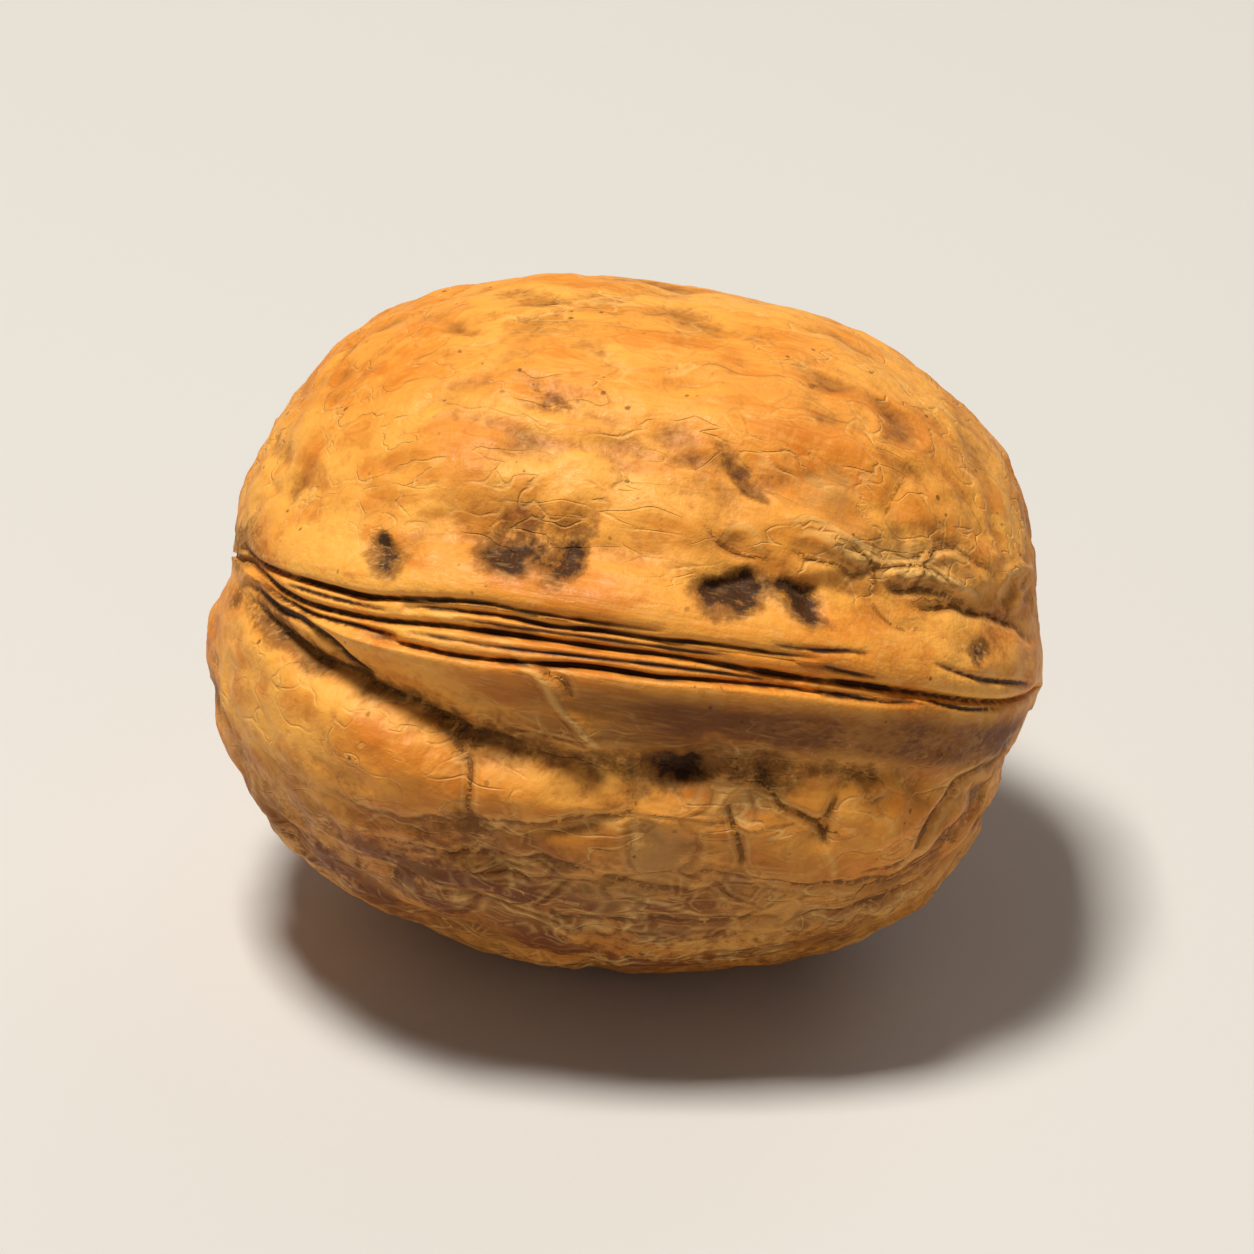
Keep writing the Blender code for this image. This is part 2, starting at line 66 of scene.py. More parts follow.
# Outlines: where each is widest, where it ends at the stem and at the tip, its radius, and how full its
# curve is towards each end.
shellForm = dict(
    upper=dict(widest=-1.0, stem=-20.2, tip=19.0, radius=16.15, stemFull=2.25, tipFull=2.5),
    lower=dict(widest=-3.2, stem=-21.0, tip=18.5, radius=16.95, stemFull=2.2, tipFull=2.65),
    seam=dict(widest=-1.5, stem=-19.7, tip=19.0, radius=16.1, stemFull=2.2, tipFull=2.25),
    seamTurn=math.radians(-5.9),
    stemX=-19.4, tipX=19.5, stemDimple=2.2, tipPoint=1.3,
    swellSize=8.0, swellHeight=0.45, sideBlend=0.4, calmAxis=1.6,
)

# How it lies on the floor, the small flat under its middle, and how softly it is pressed into its box.
lying = dict(
    turnBack=math.radians(34.0), dip=math.radians(7.0), shift=(0.71, 0.23, 16.5),
    flatRadius=3.6, flatEdge=7.5, flatReachUp=2.5, pressedIn=0.4,
)

# The fine mesh. Columns run from end to end and crowd together along the seams.
weave = dict(columns=404, rings=240, nearShare=0.6, frontCrowding=3.3, backCrowding=1.6, reach=0.17)


def along(points, x):
    # a smooth curve through (x, value) points, read at every x
    px, py = np.array(points, float).T
    slope = np.gradient(py, px)
    x = np.clip(x, px[0], px[-1])
    i = np.clip(np.searchsorted(px, x) - 1, 0, len(px) - 2)
    step = px[i + 1] - px[i]
    t = (x - px[i]) / step
    return (
        (2 * t**3 - 3 * t**2 + 1) * py[i]
        + (t**3 - 2 * t**2 + t) * step * slope[i]
        + (3 * t**2 - 2 * t**3) * py[i + 1]
        + (t**3 - t**2) * step * slope[i + 1]
    )


def ramp(low, high, x):
    t = np.clip((x - low) / (high - low), 0, 1)
    return t * t * (3 - 2 * t)


def hill(x, reach):
    return np.exp(-((x / reach) ** 2))


def angleGap(phi, at):
    return np.angle(np.exp(1j * (phi - at)))


def smoothNoise(points, size, seed):
    # between about -1 and 1, with features of that size
    places = points / size + np.array([7.3, 3.1, 5.7]) * seed
    return np.array([noise.noise(place) for place in places.tolist()])


def cloud(points, size, seed, octaves=3):
    # noise between about 0 and 1 with finer noise laid over it
    total = np.zeros(len(points))
    for octave in range(octaves):
        total = total + smoothNoise(points, size / 2**octave, seed + octave) / 2**octave
    return 0.5 + 0.32 * total


def cellEdge(points, size, seed):
    # distance from the nearest border between cells of that size
    places = points / size + np.array([1.9, 8.3, 4.1]) * seed
    nearest = [noise.voronoi(place)[0] for place in places.tolist()]
    return np.array([(second - first) * size / 2 for first, second, *_ in nearest])


def lineGap(x, v, course):
    # distance from a smooth line, below zero on one side of it, and the nearest place along it, 0 to 1
    knots = np.arange(len(course))
    fine = np.linspace(0, knots[-1], 4 * len(course))
    lineX = along([(k, point[0]) for k, point in zip(knots, course)], fine)
    lineV = along([(k, point[1]) for k, point in zip(knots, course)], fine)
    nearest = np.full(len(x), np.inf)
    place = np.zeros(len(x))
    for i in range(len(fine) - 1):
        runX = lineX[i + 1] - lineX[i]
        runV = lineV[i + 1] - lineV[i]
        t = np.clip(((x - lineX[i]) * runX + (v - lineV[i]) * runV) / (runX**2 + runV**2), 0, 1)
        gap = np.hypot(x - lineX[i] - t * runX, v - lineV[i] - t * runV)
        side = np.sign(runX * (v - lineV[i]) - runV * (x - lineX[i]))
        closer = gap < np.abs(nearest)
        nearest = np.where(closer, gap * side, nearest)
        place = np.where(closer, (i + t) / (len(fine) - 1), place)
    return nearest, place


# The bare shell, before any relief

def outline(half, tau):
    run = np.cos(tau)
    stemward = run > 0
    full = np.where(stemward, half["stemFull"], half["tipFull"])
    end = np.where(stemward, half["stem"], half["tip"])
    x = half["widest"] + (end - half["widest"]) * np.abs(run)
    return x, half["radius"] * (1 - np.abs(run) ** full) ** (1 / full)


def bareShell(tau, phi):
    lean = np.sin(phi - shellForm["seamTurn"])
    seamX, seamRadius = outline(shellForm["seam"], tau)
    upperX, upperRadius = outline(shellForm["upper"], tau)
    lowerX, lowerRadius = outline(shellForm["lower"], tau)
    x = seamX + lean**2 * (np.where(lean > 0, upperX, lowerX) - seamX)
    radius = seamRadius + lean**2 * (np.where(lean > 0, upperRadius, lowerRadius) - seamRadius)
    stemward = tau < math.pi / 2
    nearAxis = np.where(
        stemward, hill(radius, shellForm["stemDimple"]), np.exp(-radius / shellForm["tipPoint"])
    )
    x = x + (np.where(stemward, shellForm["stemX"], shellForm["tipX"]) - x) * nearAxis
    return np.stack([x, -radius * np.cos(phi), radius * np.sin(phi)], axis=-1)


def outward(tau, phi):
    step = 0.01
    inner = np.clip(tau, 2 * step, math.pi - 2 * step)
    lengthways = bareShell(inner + step, phi) - bareShell(inner - step, phi)
    sideways = bareShell(inner, phi + step) - bareShell(inner, phi - step)
    normal = np.cross(lengthways, sideways)
    return normal / np.linalg.norm(normal, axis=1)[:, None]


# The seams. Each list is (x, size) along the nut: the seam's course, the half width of the bundle of
# strands in it, the height of the two lips, and the valleys beside them.
frontSeam = dict(
    course=[(-19.4, 0.0), (-17.0, 1.0), (-14.4, 1.6), (-10.0, 1.9), (-5.7, 1.75), (0.0, 1.7),
            (6.0, 1.5), (12.0, 1.3), (15.8, 1.25), (18.2, 0.7), (19.5, 0.0)],
    bundle=[(-19.4, 0.1), (-17.0, 0.7), (-14.0, 0.95), (-8.0, 1.2), (0.0, 0.9), (7.0, 0.75),
            (12.0, 0.4), (16.0, 0.15), (19.5, 0.05)],
    lip=[(-19.4, 0.1), (-17.0, 0.45), (-13.0, 0.8), (-6.0, 0.9), (4.0, 0.9), (12.0, 0.85),
         (17.0, 0.7), (18.8, 0.4), (19.5, 0.1)],
    lipReach=1.9,
    upperDepth=[(-19.4, 0.0), (-14.0, 0.1), (-8.0, 0.35), (-1.0, 0.2), (4.0, 0.35), (9.0, 0.35),
                (14.0, 0.45), (17.5, 0.2), (19.5, 0.0)],
    lowerValley=[(-19.4, 0.9), (-18.0, 2.4), (-17.0, 3.1), (-15.0, 4.3), (-12.5, 5.1), (-10.0, 5.9),
                 (-7.0, 6.9), (-3.5, 7.2), (0.0, 6.9), (3.0, 6.8), (6.6, 6.1), (11.0, 5.4),
                 (15.0, 5.1), (18.0, 4.0), (19.5, 1.5)],
    lowerDepth=[(-19.4, 0.0), (-17.0, 0.7), (-14.0, 1.3), (-10.0, 1.45), (-5.0, 1.25), (0.0, 1.1),
                (4.0, 1.1), (8.0, 0.85), (12.0, 0.6), (17.0, 0.35), (19.5, 0.0)],
    lowerReach=[(-19.4, 0.9), (-12.0, 1.1), (-4.0, 1.5), (6.0, 2.0), (19.5, 1.5)],
)
backSeam = dict(
    course=[(-19.4, 0.0), (-16.0, 1.3), (-10.0, 1.5), (-3.0, 1.95), (4.0, 1.6), (11.0, 1.75),
            (16.5, 1.1), (19.5, 0.0)],
    bundle=[(-19.4, 0.1), (-16.0, 0.5), (-8.0, 0.7), (0.0, 0.55), (9.0, 0.35), (19.5, 0.05)],
    lip=[(-19.4, 0.1), (-16.0, 0.6), (-9.0, 1.05), (3.0, 1.1), (12.0, 0.95), (17.0, 0.6), (19.5, 0.1)],
    lipReach=2.4,
    upperDepth=[(-19.4, 0.0), (-13.0, 0.1), (-5.0, 0.2), (6.0, 0.1), (13.0, 0.15), (19.5, 0.0)],
    lowerValley=[(-19.4, 0.9), (-16.0, 4.0), (-9.0, 5.4), (-1.0, 6.1), (7.0, 5.5), (14.0, 4.9),
                 (19.5, 1.5)],
    lowerDepth=[(-19.4, 0.0), (-15.0, 0.25), (-7.0, 0.45), (2.0, 0.2), (10.0, 0.35), (19.5, 0.0)],
    lowerReach=[(-19.4, 0.8), (0.0, 1.6), (19.5, 1.3)],
)
seamProfile = dict(
    valleyEdge=1.05, leastValley=0.4, lipTop=0.4, bundleSink=0.2, upperValleyAt=3.6, upperValleyReach=1.5,
)

# Fissures between the strands: the line of (x, v) points, its half width and its depth
frontFissures = [
    ([(-19.0, -0.45), (-18.1, 0.17), (-16.6, 0.56), (-14.0, 0.85), (-12.5, 0.94), (-10.4, 0.7),
      (-7.5, 0.4), (-5.0, 0.46), (-2.0, 0.42), (1.0, 0.38)], 0.17, 0.5),
    ([(-11.0, 1.15), (-9.0, 0.94), (-6.4, 0.85), (-4.2, 0.95), (-2.1, 0.8), (0.8, 0.75), (2.6, 0.62),
      (5.0, 0.56), (8.1, 0.5)], 0.15, 0.45),
    ([(-19.0, 0.0), (-17.8, 0.85), (-16.4, 1.47), (-14.7, 1.8), (-12.1, 1.9), (-9.0, 1.71), (-6.1, 1.65),
      (-1.3, 1.57), (2.1, 1.44), (6.9, 1.48), (10.8, 1.37), (14.6, 1.32), (16.6, 1.19), (18.0, 0.71),
      (19.2, 0.08)], 0.19, 0.6),
    ([(-18.2, 1.04), (-16.8, 1.7), (-15.1, 2.19), (-12.8, 2.37), (-10.9, 2.5)], 0.15, 0.4),
    ([(-18.7, 1.13), (-17.1, 2.1), (-15.5, 2.53), (-14.3, 3.25), (-13.4, 4.2), (-12.4, 4.8)],
     0.25, 0.55),
    ([(-12.6, 2.62), (-9.9, 2.85), (-7.6, 2.95), (-4.6, 2.77), (-2.1, 2.53), (1.0, 2.5), (3.1, 2.29),
      (6.9, 2.05), (10.8, 1.96), (13.0, 1.75)], 0.17, 0.55),
    ([(-8.5, 1.3), (-5.5, 1.27), (-2.5, 1.2), (1.5, 1.1), (4.5, 1.0)], 0.12, 0.2),
    ([(-10.5, 2.2), (-6.5, 2.28), (-2.5, 2.1), (2.5, 1.9), (7.5, 1.77)], 0.12, 0.22),
    ([(-16.5, 1.0), (-14.0, 1.3), (-11.5, 1.42)], 0.12, 0.2),
    ([(13.5, 1.6), (14.7, 1.68), (15.6, 1.64), (16.8, 1.42)], 0.12, 0.18),
    ([(6.0, 0.18), (7.9, 0.13), (9.2, -0.04), (10.4, -0.1)], 0.13, 0.16),
    ([(13.4, -0.15), (15.1, 0.18), (16.4, 0.2), (18.2, 0.05)], 0.15, 0.22),
    ([(8.2, 0.71), (9.5, 0.86), (11.0, 0.9)], 0.12, 0.16),
]
backFissures = [
    ([(-18.9, 0.1), (-15.0, 1.3), (-8.0, 1.3), (-2.0, 1.75), (5.0, 1.5), (12.0, 1.6), (16.5, 1.1),
      (19.2, 0.1)], 0.17, 0.55),
    ([(-17.5, 1.2), (-13.0, 1.9), (-8.0, 2.05), (-1.0, 2.25), (6.0, 1.75)], 0.15, 0.45),
    ([(-18.5, 0.1), (-14.0, 0.7), (-9.0, 0.8), (-4.5, 1.3)], 0.13, 0.35),
    ([(1.5, 1.95), (6.0, 1.95), (10.5, 1.95), (14.0, 1.75)], 0.12, 0.3),
]

# Creases on the cheeks, with the half width and the depth
frontCreases = [
    ([(-18.4, 1.9), (-16.6, 3.3), (-14.5, 4.5), (-12.0, 5.4), (-9.5, 6.2), (-7.0, 6.9), (-4.5, 7.2)],
     0.3, 0.4),
    ([(-4.4, 2.8), (-3.4, 3.2), (-2.7, 4.2)], 0.22, 0.25),
    ([(-9.5, 6.5), (-7.2, 8.0), (-6.5, 9.7), (-6.3, 10.8)], 0.36, 0.26),
    ([(18.9, 1.2), (17.8, 3.6), (16.3, 5.2), (15.2, 6.7), (14.6, 8.0), (13.6, 9.4), (12.0, 10.2)],
     0.26, 0.36),
    ([(7.4, 7.4), (8.3, 8.0), (9.7, 8.4), (10.1, 9.0)], 0.24, 0.34),
    ([(9.8, 8.4), (10.1, 7.7), (10.3, 6.9)], 0.22, 0.26),
    ([(7.2, 11.5), (9.1, 11.3), (10.7, 11.0), (13.4, 10.2), (15.0, 8.8), (16.4, 7.3), (18.2, 3.6)],
     0.28, 0.36),
    ([(9.0, 12.9), (10.9, 12.3), (13.1, 11.6), (15.2, 10.1), (16.8, 8.3), (17.9, 6.2)], 0.28, 0.36),
    ([(12.4, 11.1), (14.3, 10.1), (16.2, 8.0), (17.9, 4.9)], 0.2, 0.2),
    ([(5.3, 8.3), (6.1, 9.6), (6.4, 11.0)], 0.28, 0.3),
    ([(-13.5, 9.9), (-9.5, 10.9), (-4.5, 10.4), (-0.5, 9.6), (1.3, 8.4)], 0.42, 0.22),
    ([(-12.0, 11.9), (-7.0, 12.4), (-2.0, 12.0), (2.5, 12.6), (7.0, 12.0)], 0.38, 0.22),
    ([(-8.0, 14.2), (-2.0, 14.6), (4.0, 14.0), (9.0, 12.9)], 0.42, 0.25),
    ([(6.2, -4.5), (8.2, -4.1), (10.2, -3.6)], 0.3, 0.22),
    ([(11.4, -3.3), (13.0, -3.5), (14.6, -3.4), (15.9, -2.9)], 0.3, 0.24),
    ([(10.4, -3.0), (11.1, -2.1), (12.0, -1.6), (13.3, -1.7)], 0.28, 0.2),
    ([(12.6, -2.5), (14.5, -2.9), (17.0, -2.6), (18.3, -1.8)], 0.3, 0.28),
    ([(11.0, -5.2), (12.3, -5.0), (13.4, -5.6), (15.0, -5.4), (16.2, -4.4)], 0.3, 0.22),
    ([(10.2, -6.6), (10.7, -7.7), (11.1, -9.2)], 0.24, 0.16),
    ([(1.9, -5.0), (3.4, -4.1), (5.6, -3.9)], 0.3, 0.2),
]
# Raised folds, laid out the same way
frontFolds = [
    ([(-5.4, 2.9), (-4.2, 3.2), (-3.3, 4.4), (-2.1, 5.6), (-0.9, 6.6)], 0.32, -0.42),
    ([(9.9, 8.6), (10.4, 9.7), (11.0, 10.9)], 0.24, -0.22),
    ([(5.9, -5.4), (6.8, -5.7), (8.7, -5.4), (10.6, -4.9)], 0.22, -0.3),
    ([(6.3, -5.0), (7.6, -5.1), (9.2, -4.6), (10.9, -4.4)], 0.22, -0.3),
    ([(11.0, -4.0), (12.7, -4.2), (14.2, -4.1), (15.9, -3.5)], 0.28, -0.3),
    ([(16.5, -4.0), (16.9, -5.2), (17.6, -5.3), (17.9, -4.4), (17.2, -3.3)], 0.2, -0.22),
    ([(3.1, -4.2), (3.6, -4.9), (4.6, -4.8), (5.0, -4.1)], 0.22, -0.2),
    ([(12.6, -9.2), (13.4, -8.2), (14.3, -7.3)], 0.2, -0.12),
    ([(5.2, -2.8), (6.5, -1.8), (8.1, -0.9)], 0.26, -0.25),
]
backCreases = [
    ([(-16.0, 8.0), (-12.0, 10.0), (-7.0, 10.6), (-2.0, 9.4)], 0.4, 0.38),
    ([(1.0, 11.5), (5.5, 9.6), (10.5, 8.8), (15.0, 6.0)], 0.4, 0.42),
    ([(-15.0, -5.5), (-10.0, -7.6), (-4.0, -7.4), (1.0, -5.8)], 0.4, 0.38),
    ([(4.0, -8.6), (9.0, -8.2), (13.0, -6.4), (16.5, -3.6)], 0.38, 0.38),
    ([(-8.0, 10.4), (-7.0, 12.0), (-4.6, 13.2)], 0.36, 0.32),
    ([(-4.0, -7.4), (-3.4, -9.6), (-0.8, -11.6)], 0.36, 0.32),
]

# Pits: x, v, half length, half width, turn in degrees, depth
frontPits = [
    (-12.1, -1.1, 1.1, 0.8, 20, 0.5), (-5.6, -2.8, 3.8, 1.7, 0, 0.3), (-7.1, -2.3, 1.4, 0.9, 0, 0.45),
    (-3.9, -2.6, 0.9, 1.2, 15, 0.45), (3.6, -2.4, 2.8, 1.4, -8, 0.3), (3.9, -2.1, 1.6, 0.8, -15, 0.55),
    (7.2, -2.2, 1.5, 0.6, 38, 0.6), (3.4, -7.4, 1.8, 0.4, 33, 0.3),
    (-5.6, -9.6, 1.5, 0.5, 0, 0.2), (3.0, 6.9, 1.5, 0.9, 10, 0.5), (7.2, 6.6, 1.3, 0.8, 0, 0.35),
    (15.5, -1.0, 0.7, 0.5, 0, 0.2), (-6.5, 11.6, 2.0, 0.7, 5, 0.25), (-9.4, 13.6, 1.2, 0.6, 0, 0.25),
]
backPits = [
    (-9.5, -2.2, 1.7, 0.8, -10, 0.6), (-3.0, -2.8, 1.0, 0.8, 20, 0.45), (5.5, -2.3, 1.3, 0.7, 15, 0.5),
    (10.5, 6.0, 1.6, 0.7, -15, 0.45), (-5.5, 6.6, 1.9, 0.8, 8, 0.5), (0.5, -9.0, 1.4, 0.5, 40, 0.3),
    (-11.0, 9.5, 1.2, 0.6, -30, 0.3),
]

# Swellings: x, v, reach along, reach across, turn in degrees, height
frontSwellings = [
    (-12.0, 8.6, 5.4, 3.0, 12, 0.6), (-18.0, 5.0, 2.6, 3.0, 0, 0.3), (15.3, -1.4, 2.4, 1.3, 0, 0.4),
    (-0.3, -1.2, 2.4, 1.1, 0, 0.25), (12.6, 8.0, 2.6, 1.9, -15, 0.35), (9.6, -9.1, 1.9, 1.7, 0, 0.2),
    (3.6, 9.3, 1.7, 1.3, 0, 0.25), (8.5, 10.3, 1.5, 1.2, 0, 0.2),
]
backSwellings = [
    (8.5, 11.6, 4.0, 2.2, 10, 0.35), (-13.0, -8.5, 3.4, 2.2, 10, 0.3), (3.0, -7.6, 3.0, 2.0, 0, 0.35),
    (-11.0, 7.8, 3.4, 1.8, -10, 0.35),
]

# Calm patches, where the net hardly shows: x, v, reach along, reach across, turn in degrees, share lost
calmPatches = [
    (-15.0, 7.2, 8.0, 4.5, 15, 0.8), (13.5, 8.5, 4.8, 3.6, -30, 0.75), (-3.5, 9.0, 3.6, 1.1, 0, 0.5),
]

# Furrows from end to end: phi in degrees, half width, depth
furrows = dict(
    lines=[(56, 0.8, 0.15), (84, 0.8, 0.25), (112, 0.9, 0.5), (139, 0.8, 0.4),
           (-48, 0.8, 0.2), (-74, 0.9, 0.35), (-103, 0.9, 0.5), (-134, 0.8, 0.4)],
    wander=2.6, wanderSize=7.0, shownSize=9.0, shownFrom=(-0.4, 0.2),
)
net = dict(cell=4.2, stretch=1.7, wobble=1.1, wobbleSize=5.0, groove=0.55, depth=0.5)
lumps = dict(size=3.0, stretch=1.8, height=0.17)
endRays = dict(count=3.2, depth=0.36, fineShare=0.3, start=(10.0, 17.0), offAxis=(1.0, 4.5))
crumple = dict(
    x=11.5, v=-4.6, reachX=5.5, reachV=1.9, height=0.5, fineShare=0.35,
    foldLength=4.0, foldCount=0.9, foldLean=0.25, fineLength=2.2, fineCount=2.3, fineLean=0.6,
)

# How strongly the net and furrows show on the lips, the two halves of the near side, and the far side,
# and where one gives way to the next: in the cosine of phi for the sides, in distance for the lips
roughness = dict(lip=0.2, upper=0.3, lower=0.5, far=1.0, sideEdge=(-0.7, -0.1), lipEdge=(1.5, 5.0))

# The stem's scar: how far the torn fibres reach from the axis, their count and height, and the sink
stemScar = dict(reach=2.3, fibres=9.0, height=0.3, sink=0.5, sinkReach=1.1)

# Relief that only the fine mesh can hold, in millimetres
fineRelief = dict(
    netCell=1.9, netGroove=0.3, netDepth=0.16,
    wrinkleSize=1.8, wrinkleHeight=0.34, wrinkleStretch=1.9,
    grainSize=0.8, grainHeight=0.09, wrinkleLevel=0.35, grainLevel=0.3,
    warp=0.9, warpSize=3.2, least=0.7,
    ragged=0.55, raggedSize=1.4, lineBend=0.45,
)

# Stains: x, v, half length, half width, turn in degrees, strength
darkStains = [
    (-12.0, -0.9, 1.1, 0.8, 20, 0.85), (-12.4, -1.9, 0.4, 0.4, 0, 0.9), (-6.4, -2.1, 1.7, 1.1, -8, 1.25),
    (-3.7, -2.5, 0.85, 1.3, 20, 1.35), (3.5, -1.9, 1.6, 1.1, -8, 1.25), (4.7, -2.5, 0.8, 0.8, 0, 1.0),
    (7.4, -1.9, 1.4, 0.6, 35, 1.35), (6.3, -2.7, 0.6, 0.35, 20, 0.9), (15.5, -1.0, 0.6, 0.5, 0, 0.7),
    (4.0, -6.9, 1.5, 0.4, 35, 0.75),
    (2.6, -7.9, 1.0, 0.3, 35, 0.4), (2.9, 6.9, 1.7, 1.1, 10, 1.05), (7.1, 6.5, 1.2, 0.9, 0, 0.75),
    (5.9, -12.1, 1.0, 0.3, -15, 0.45), (-6.6, 10.7, 1.4, 0.9, 0, 0.55), (-8.9, 13.4, 1.6, 0.6, 0, 0.45),
    (-2.0, 12.2, 1.6, 0.6, 0, 0.6), (0.8, 8.6, 0.9, 1.2, 0, 0.35), (-5.0, -9.4, 1.1, 0.4, 10, 0.45),
    (-19.0, -0.6, 1.6, 1.6, 0, 0.5),
]
rustStains = [
    (-6.3, -3.5, 1.5, 1.2, -20, 0.9), (-5.6, -9.6, 1.8, 0.7, 0, 0.9), (3.0, -7.7, 2.1, 0.6, 35, 0.7),
    (5.3, -8.8, 0.9, 0.5, 0, 0.5), (-11.1, -11.0, 1.0, 0.35, -10, 0.5), (-2.3, -11.3, 0.9, 0.4, 0, 0.5),
    (0.3, -11.6, 1.2, 0.4, 0, 0.5), (7.4, -12.7, 1.0, 0.3, 0, 0.5), (-7.6, 11.9, 4.0, 1.3, 0, 0.7),
    (15.6, -1.0, 1.1, 0.9, 0, 0.6), (6.2, -3.6, 1.4, 0.7, 30, 0.6), (8.8, -4.6, 1.6, 0.6, 20, 0.5),
    (-3.5, -4.0, 1.0, 0.8, 0, 0.5), (-8.9, 13.6, 1.6, 0.9, 0, 0.7), (12.0, -3.4, 2.4, 0.6, 5, 0.6),
    (16.8, -3.0, 1.0, 1.2, 0, 0.6), (-12.4, -1.6, 1.3, 1.2, 0, 0.4), (1.0, -3.0, 1.6, 0.5, 0, 0.35),
]
greyBloom = [
    (2.2, 10.6, 2.0, 1.5, 0, 0.9), (5.5, 7.8, 2.6, 1.5, 10, 0.8), (12.0, -4.6, 5.0, 1.8, 8, 0.8),
    (0.5, 13.0, 3.5, 1.4, 0, 0.7), (7.0, 5.6, 2.4, 0.9, 0, 0.7), (-12.0, 5.6, 3.0, 0.8, 15, 0.6),
    (9.0, 12.6, 3.0, 1.2, -10, 0.6), (17.6, 5.0, 1.0, 2.5, 0, 0.5), (7.4, -7.4, 1.8, 1.2, 0, 0.7),
    (-6.0, -2.9, 3.4, 1.6, 0, 0.5), (-14.5, 9.5, 2.4, 1.6, 30, 0.5), (-19.0, -0.8, 1.2, 2.4, 0, 0.6),
]
# The darkening along the valley under the lower lip, partly its dark stains and partly painted shade in the
# valley: line, half width, strength
valleyStainAndShadeLines = [
    ([(-18.6, 1.9), (-17.0, 3.1), (-15.0, 4.2), (-12.5, 5.0), (-9.5, 6.0), (-7.0, 6.9)], 0.7, 0.6),
    ([(-9.5, 6.0), (-7.0, 6.9), (-3.5, 7.2), (0.5, 6.9)], 0.8, 0.55),
    ([(0.5, 7.0), (3.0, 6.8), (7.5, 6.2), (11.5, 5.7)], 1.0, 0.5),
]


def spots(x, v, marks, rim=1.3, steep=1.0):
    # rounded marks, flat in the middle and soft at the rim, with a steeper rim below if wanted
    height = np.zeros_like(x)
    for atX, atV, halfLength, halfWidth, turn, markHeight in marks:
        c, s = math.cos(math.radians(turn)), math.sin(math.radians(turn))
        lengthways = ((x - atX) * c + (v - atV) * s) / halfLength
        crossways = ((v - atV) * c - (x - atX) * s) / halfWidth
        crossways = np.where(crossways > 0, crossways * steep, crossways)
        height = height + markHeight * np.exp(-((lengthways**2 + crossways**2) ** rim))
    return height


def seamRelief(x, v, seam):
    course = along(seam["course"], x)
    bundle = along(seam["bundle"], x)
    lip = along(seam["lip"], x)
    above = course - v - bundle
    below = v - course - bundle
    depth = along(seam["lowerDepth"], x)
    valley = np.maximum(along(seam["lowerValley"], x) - course - bundle, seamProfile["leastValley"])
    face = lip - (lip + depth) * np.clip(below / valley, 0, 1) ** seamProfile["valleyEdge"]
    pastValley = -depth * hill(below - valley, along(seam["lowerReach"], x))
    lower = np.where(below > valley, pastValley, face)
    upper = lip * hill(np.maximum(above - seamProfile["lipTop"], 0), seam["lipReach"])
    upperValley = hill(above - seamProfile["upperValleyAt"], seamProfile["upperValleyReach"])
    upper = upper - along(seam["upperDepth"], x) * upperValley
    height = np.where(v > course, lower, upper)
    inBundle = np.maximum(above, below) < 0
    return np.where(inBundle, lip - seamProfile["bundleSink"], height), np.maximum(above, below)


# How the lines of fissures, creases and folds fade at their ends, how far their rounded shoulders and
# their shading reach, and how the fissures' strength varies along them
lineShape = dict(
    fade=0.3, shoulderReach=2.4, shadeReach=0.6, varySize=2.4, varyApart=3.0,
    fissureRounding=0.35, fissureVary=0.25,
)


def lineSet(x, v, lines, rounding=0.0, vary=0.0):
    # summed height of the grooves or folds, how far inside any of them each point is, its distance from
    # the nearest one, below zero on one side, and how strong that one is there
    height = np.zeros_like(x)
    inside = np.zeros_like(x)
    nearest = np.full(len(x), farOff)
    strength = np.zeros_like(x)
    for number, (course, width, depth) in enumerate(lines):
        gap, place = lineGap(x, v, course)
        fade = np.sin(np.pi * place) ** lineShape["fade"]
        if vary:
            apart = np.full_like(x, lineShape["varyApart"] * number)
            varied = smoothNoise(np.stack([x, apart, np.zeros_like(x)], axis=-1), lineShape["varySize"], 31)
            fade = fade * np.clip(1 - 0.5 * vary + 2 * vary * varied, 1 - vary, 1)
        share = hill(gap, width) * fade
        shoulder = hill(gap, lineShape["shoulderReach"] * width) * fade
        height = height - depth * share - rounding * depth * shoulder
        inside = np.maximum(inside, share)
        closer = np.abs(gap) < np.abs(nearest)
        nearest = np.where(closer, gap, nearest)
        shade = np.abs(depth) * fade * hill(gap, lineShape["shadeReach"])
        strength = np.where(closer, shade, strength)
    return height, inside, nearest, strength


def crumpled(x, v):
    reach = hill(x - crumple["x"], crumple["reachX"]) * hill(v - crumple["v"], crumple["reachV"])
    across = v * crumple["foldCount"] + x * crumple["foldLean"]
    fineAcross = v * crumple["fineCount"] + x * crumple["fineLean"]
    folds = np.stack([x / crumple["foldLength"], across, np.zeros_like(x)], axis=-1)
    fine = np.stack([x / crumple["fineLength"], fineAcross, np.ones_like(x)], axis=-1)
    bends = smoothNoise(folds, 1.0, 7) + crumple["fineShare"] * smoothNoise(fine, 1.0, 8)
    return crumple["height"] * reach * bends, reach


def furrowRelief(points, phi, radius):
    wander = furrows["wander"] * smoothNoise(points * np.array([1, 0.3, 0.3]), furrows["wanderSize"], 3)
    shown = ramp(*furrows["shownFrom"], smoothNoise(points, furrows["shownSize"], 4))
    height = np.zeros_like(phi)
    for angle, width, depth in furrows["lines"]:
        gap = angleGap(phi, math.radians(angle)) * radius + wander
        height = height - depth * shown * hill(gap, width)
    return height


def netRelief(points):
    wobble = net["wobble"] * smoothNoise(points, net["wobbleSize"], 1)
    stretched = points / np.array([net["stretch"], 1, 1]) + wobble[:, None]
    groove = hill(cellEdge(stretched, net["cell"], 2), net["groove"])
    return -net["depth"] * groove, groove


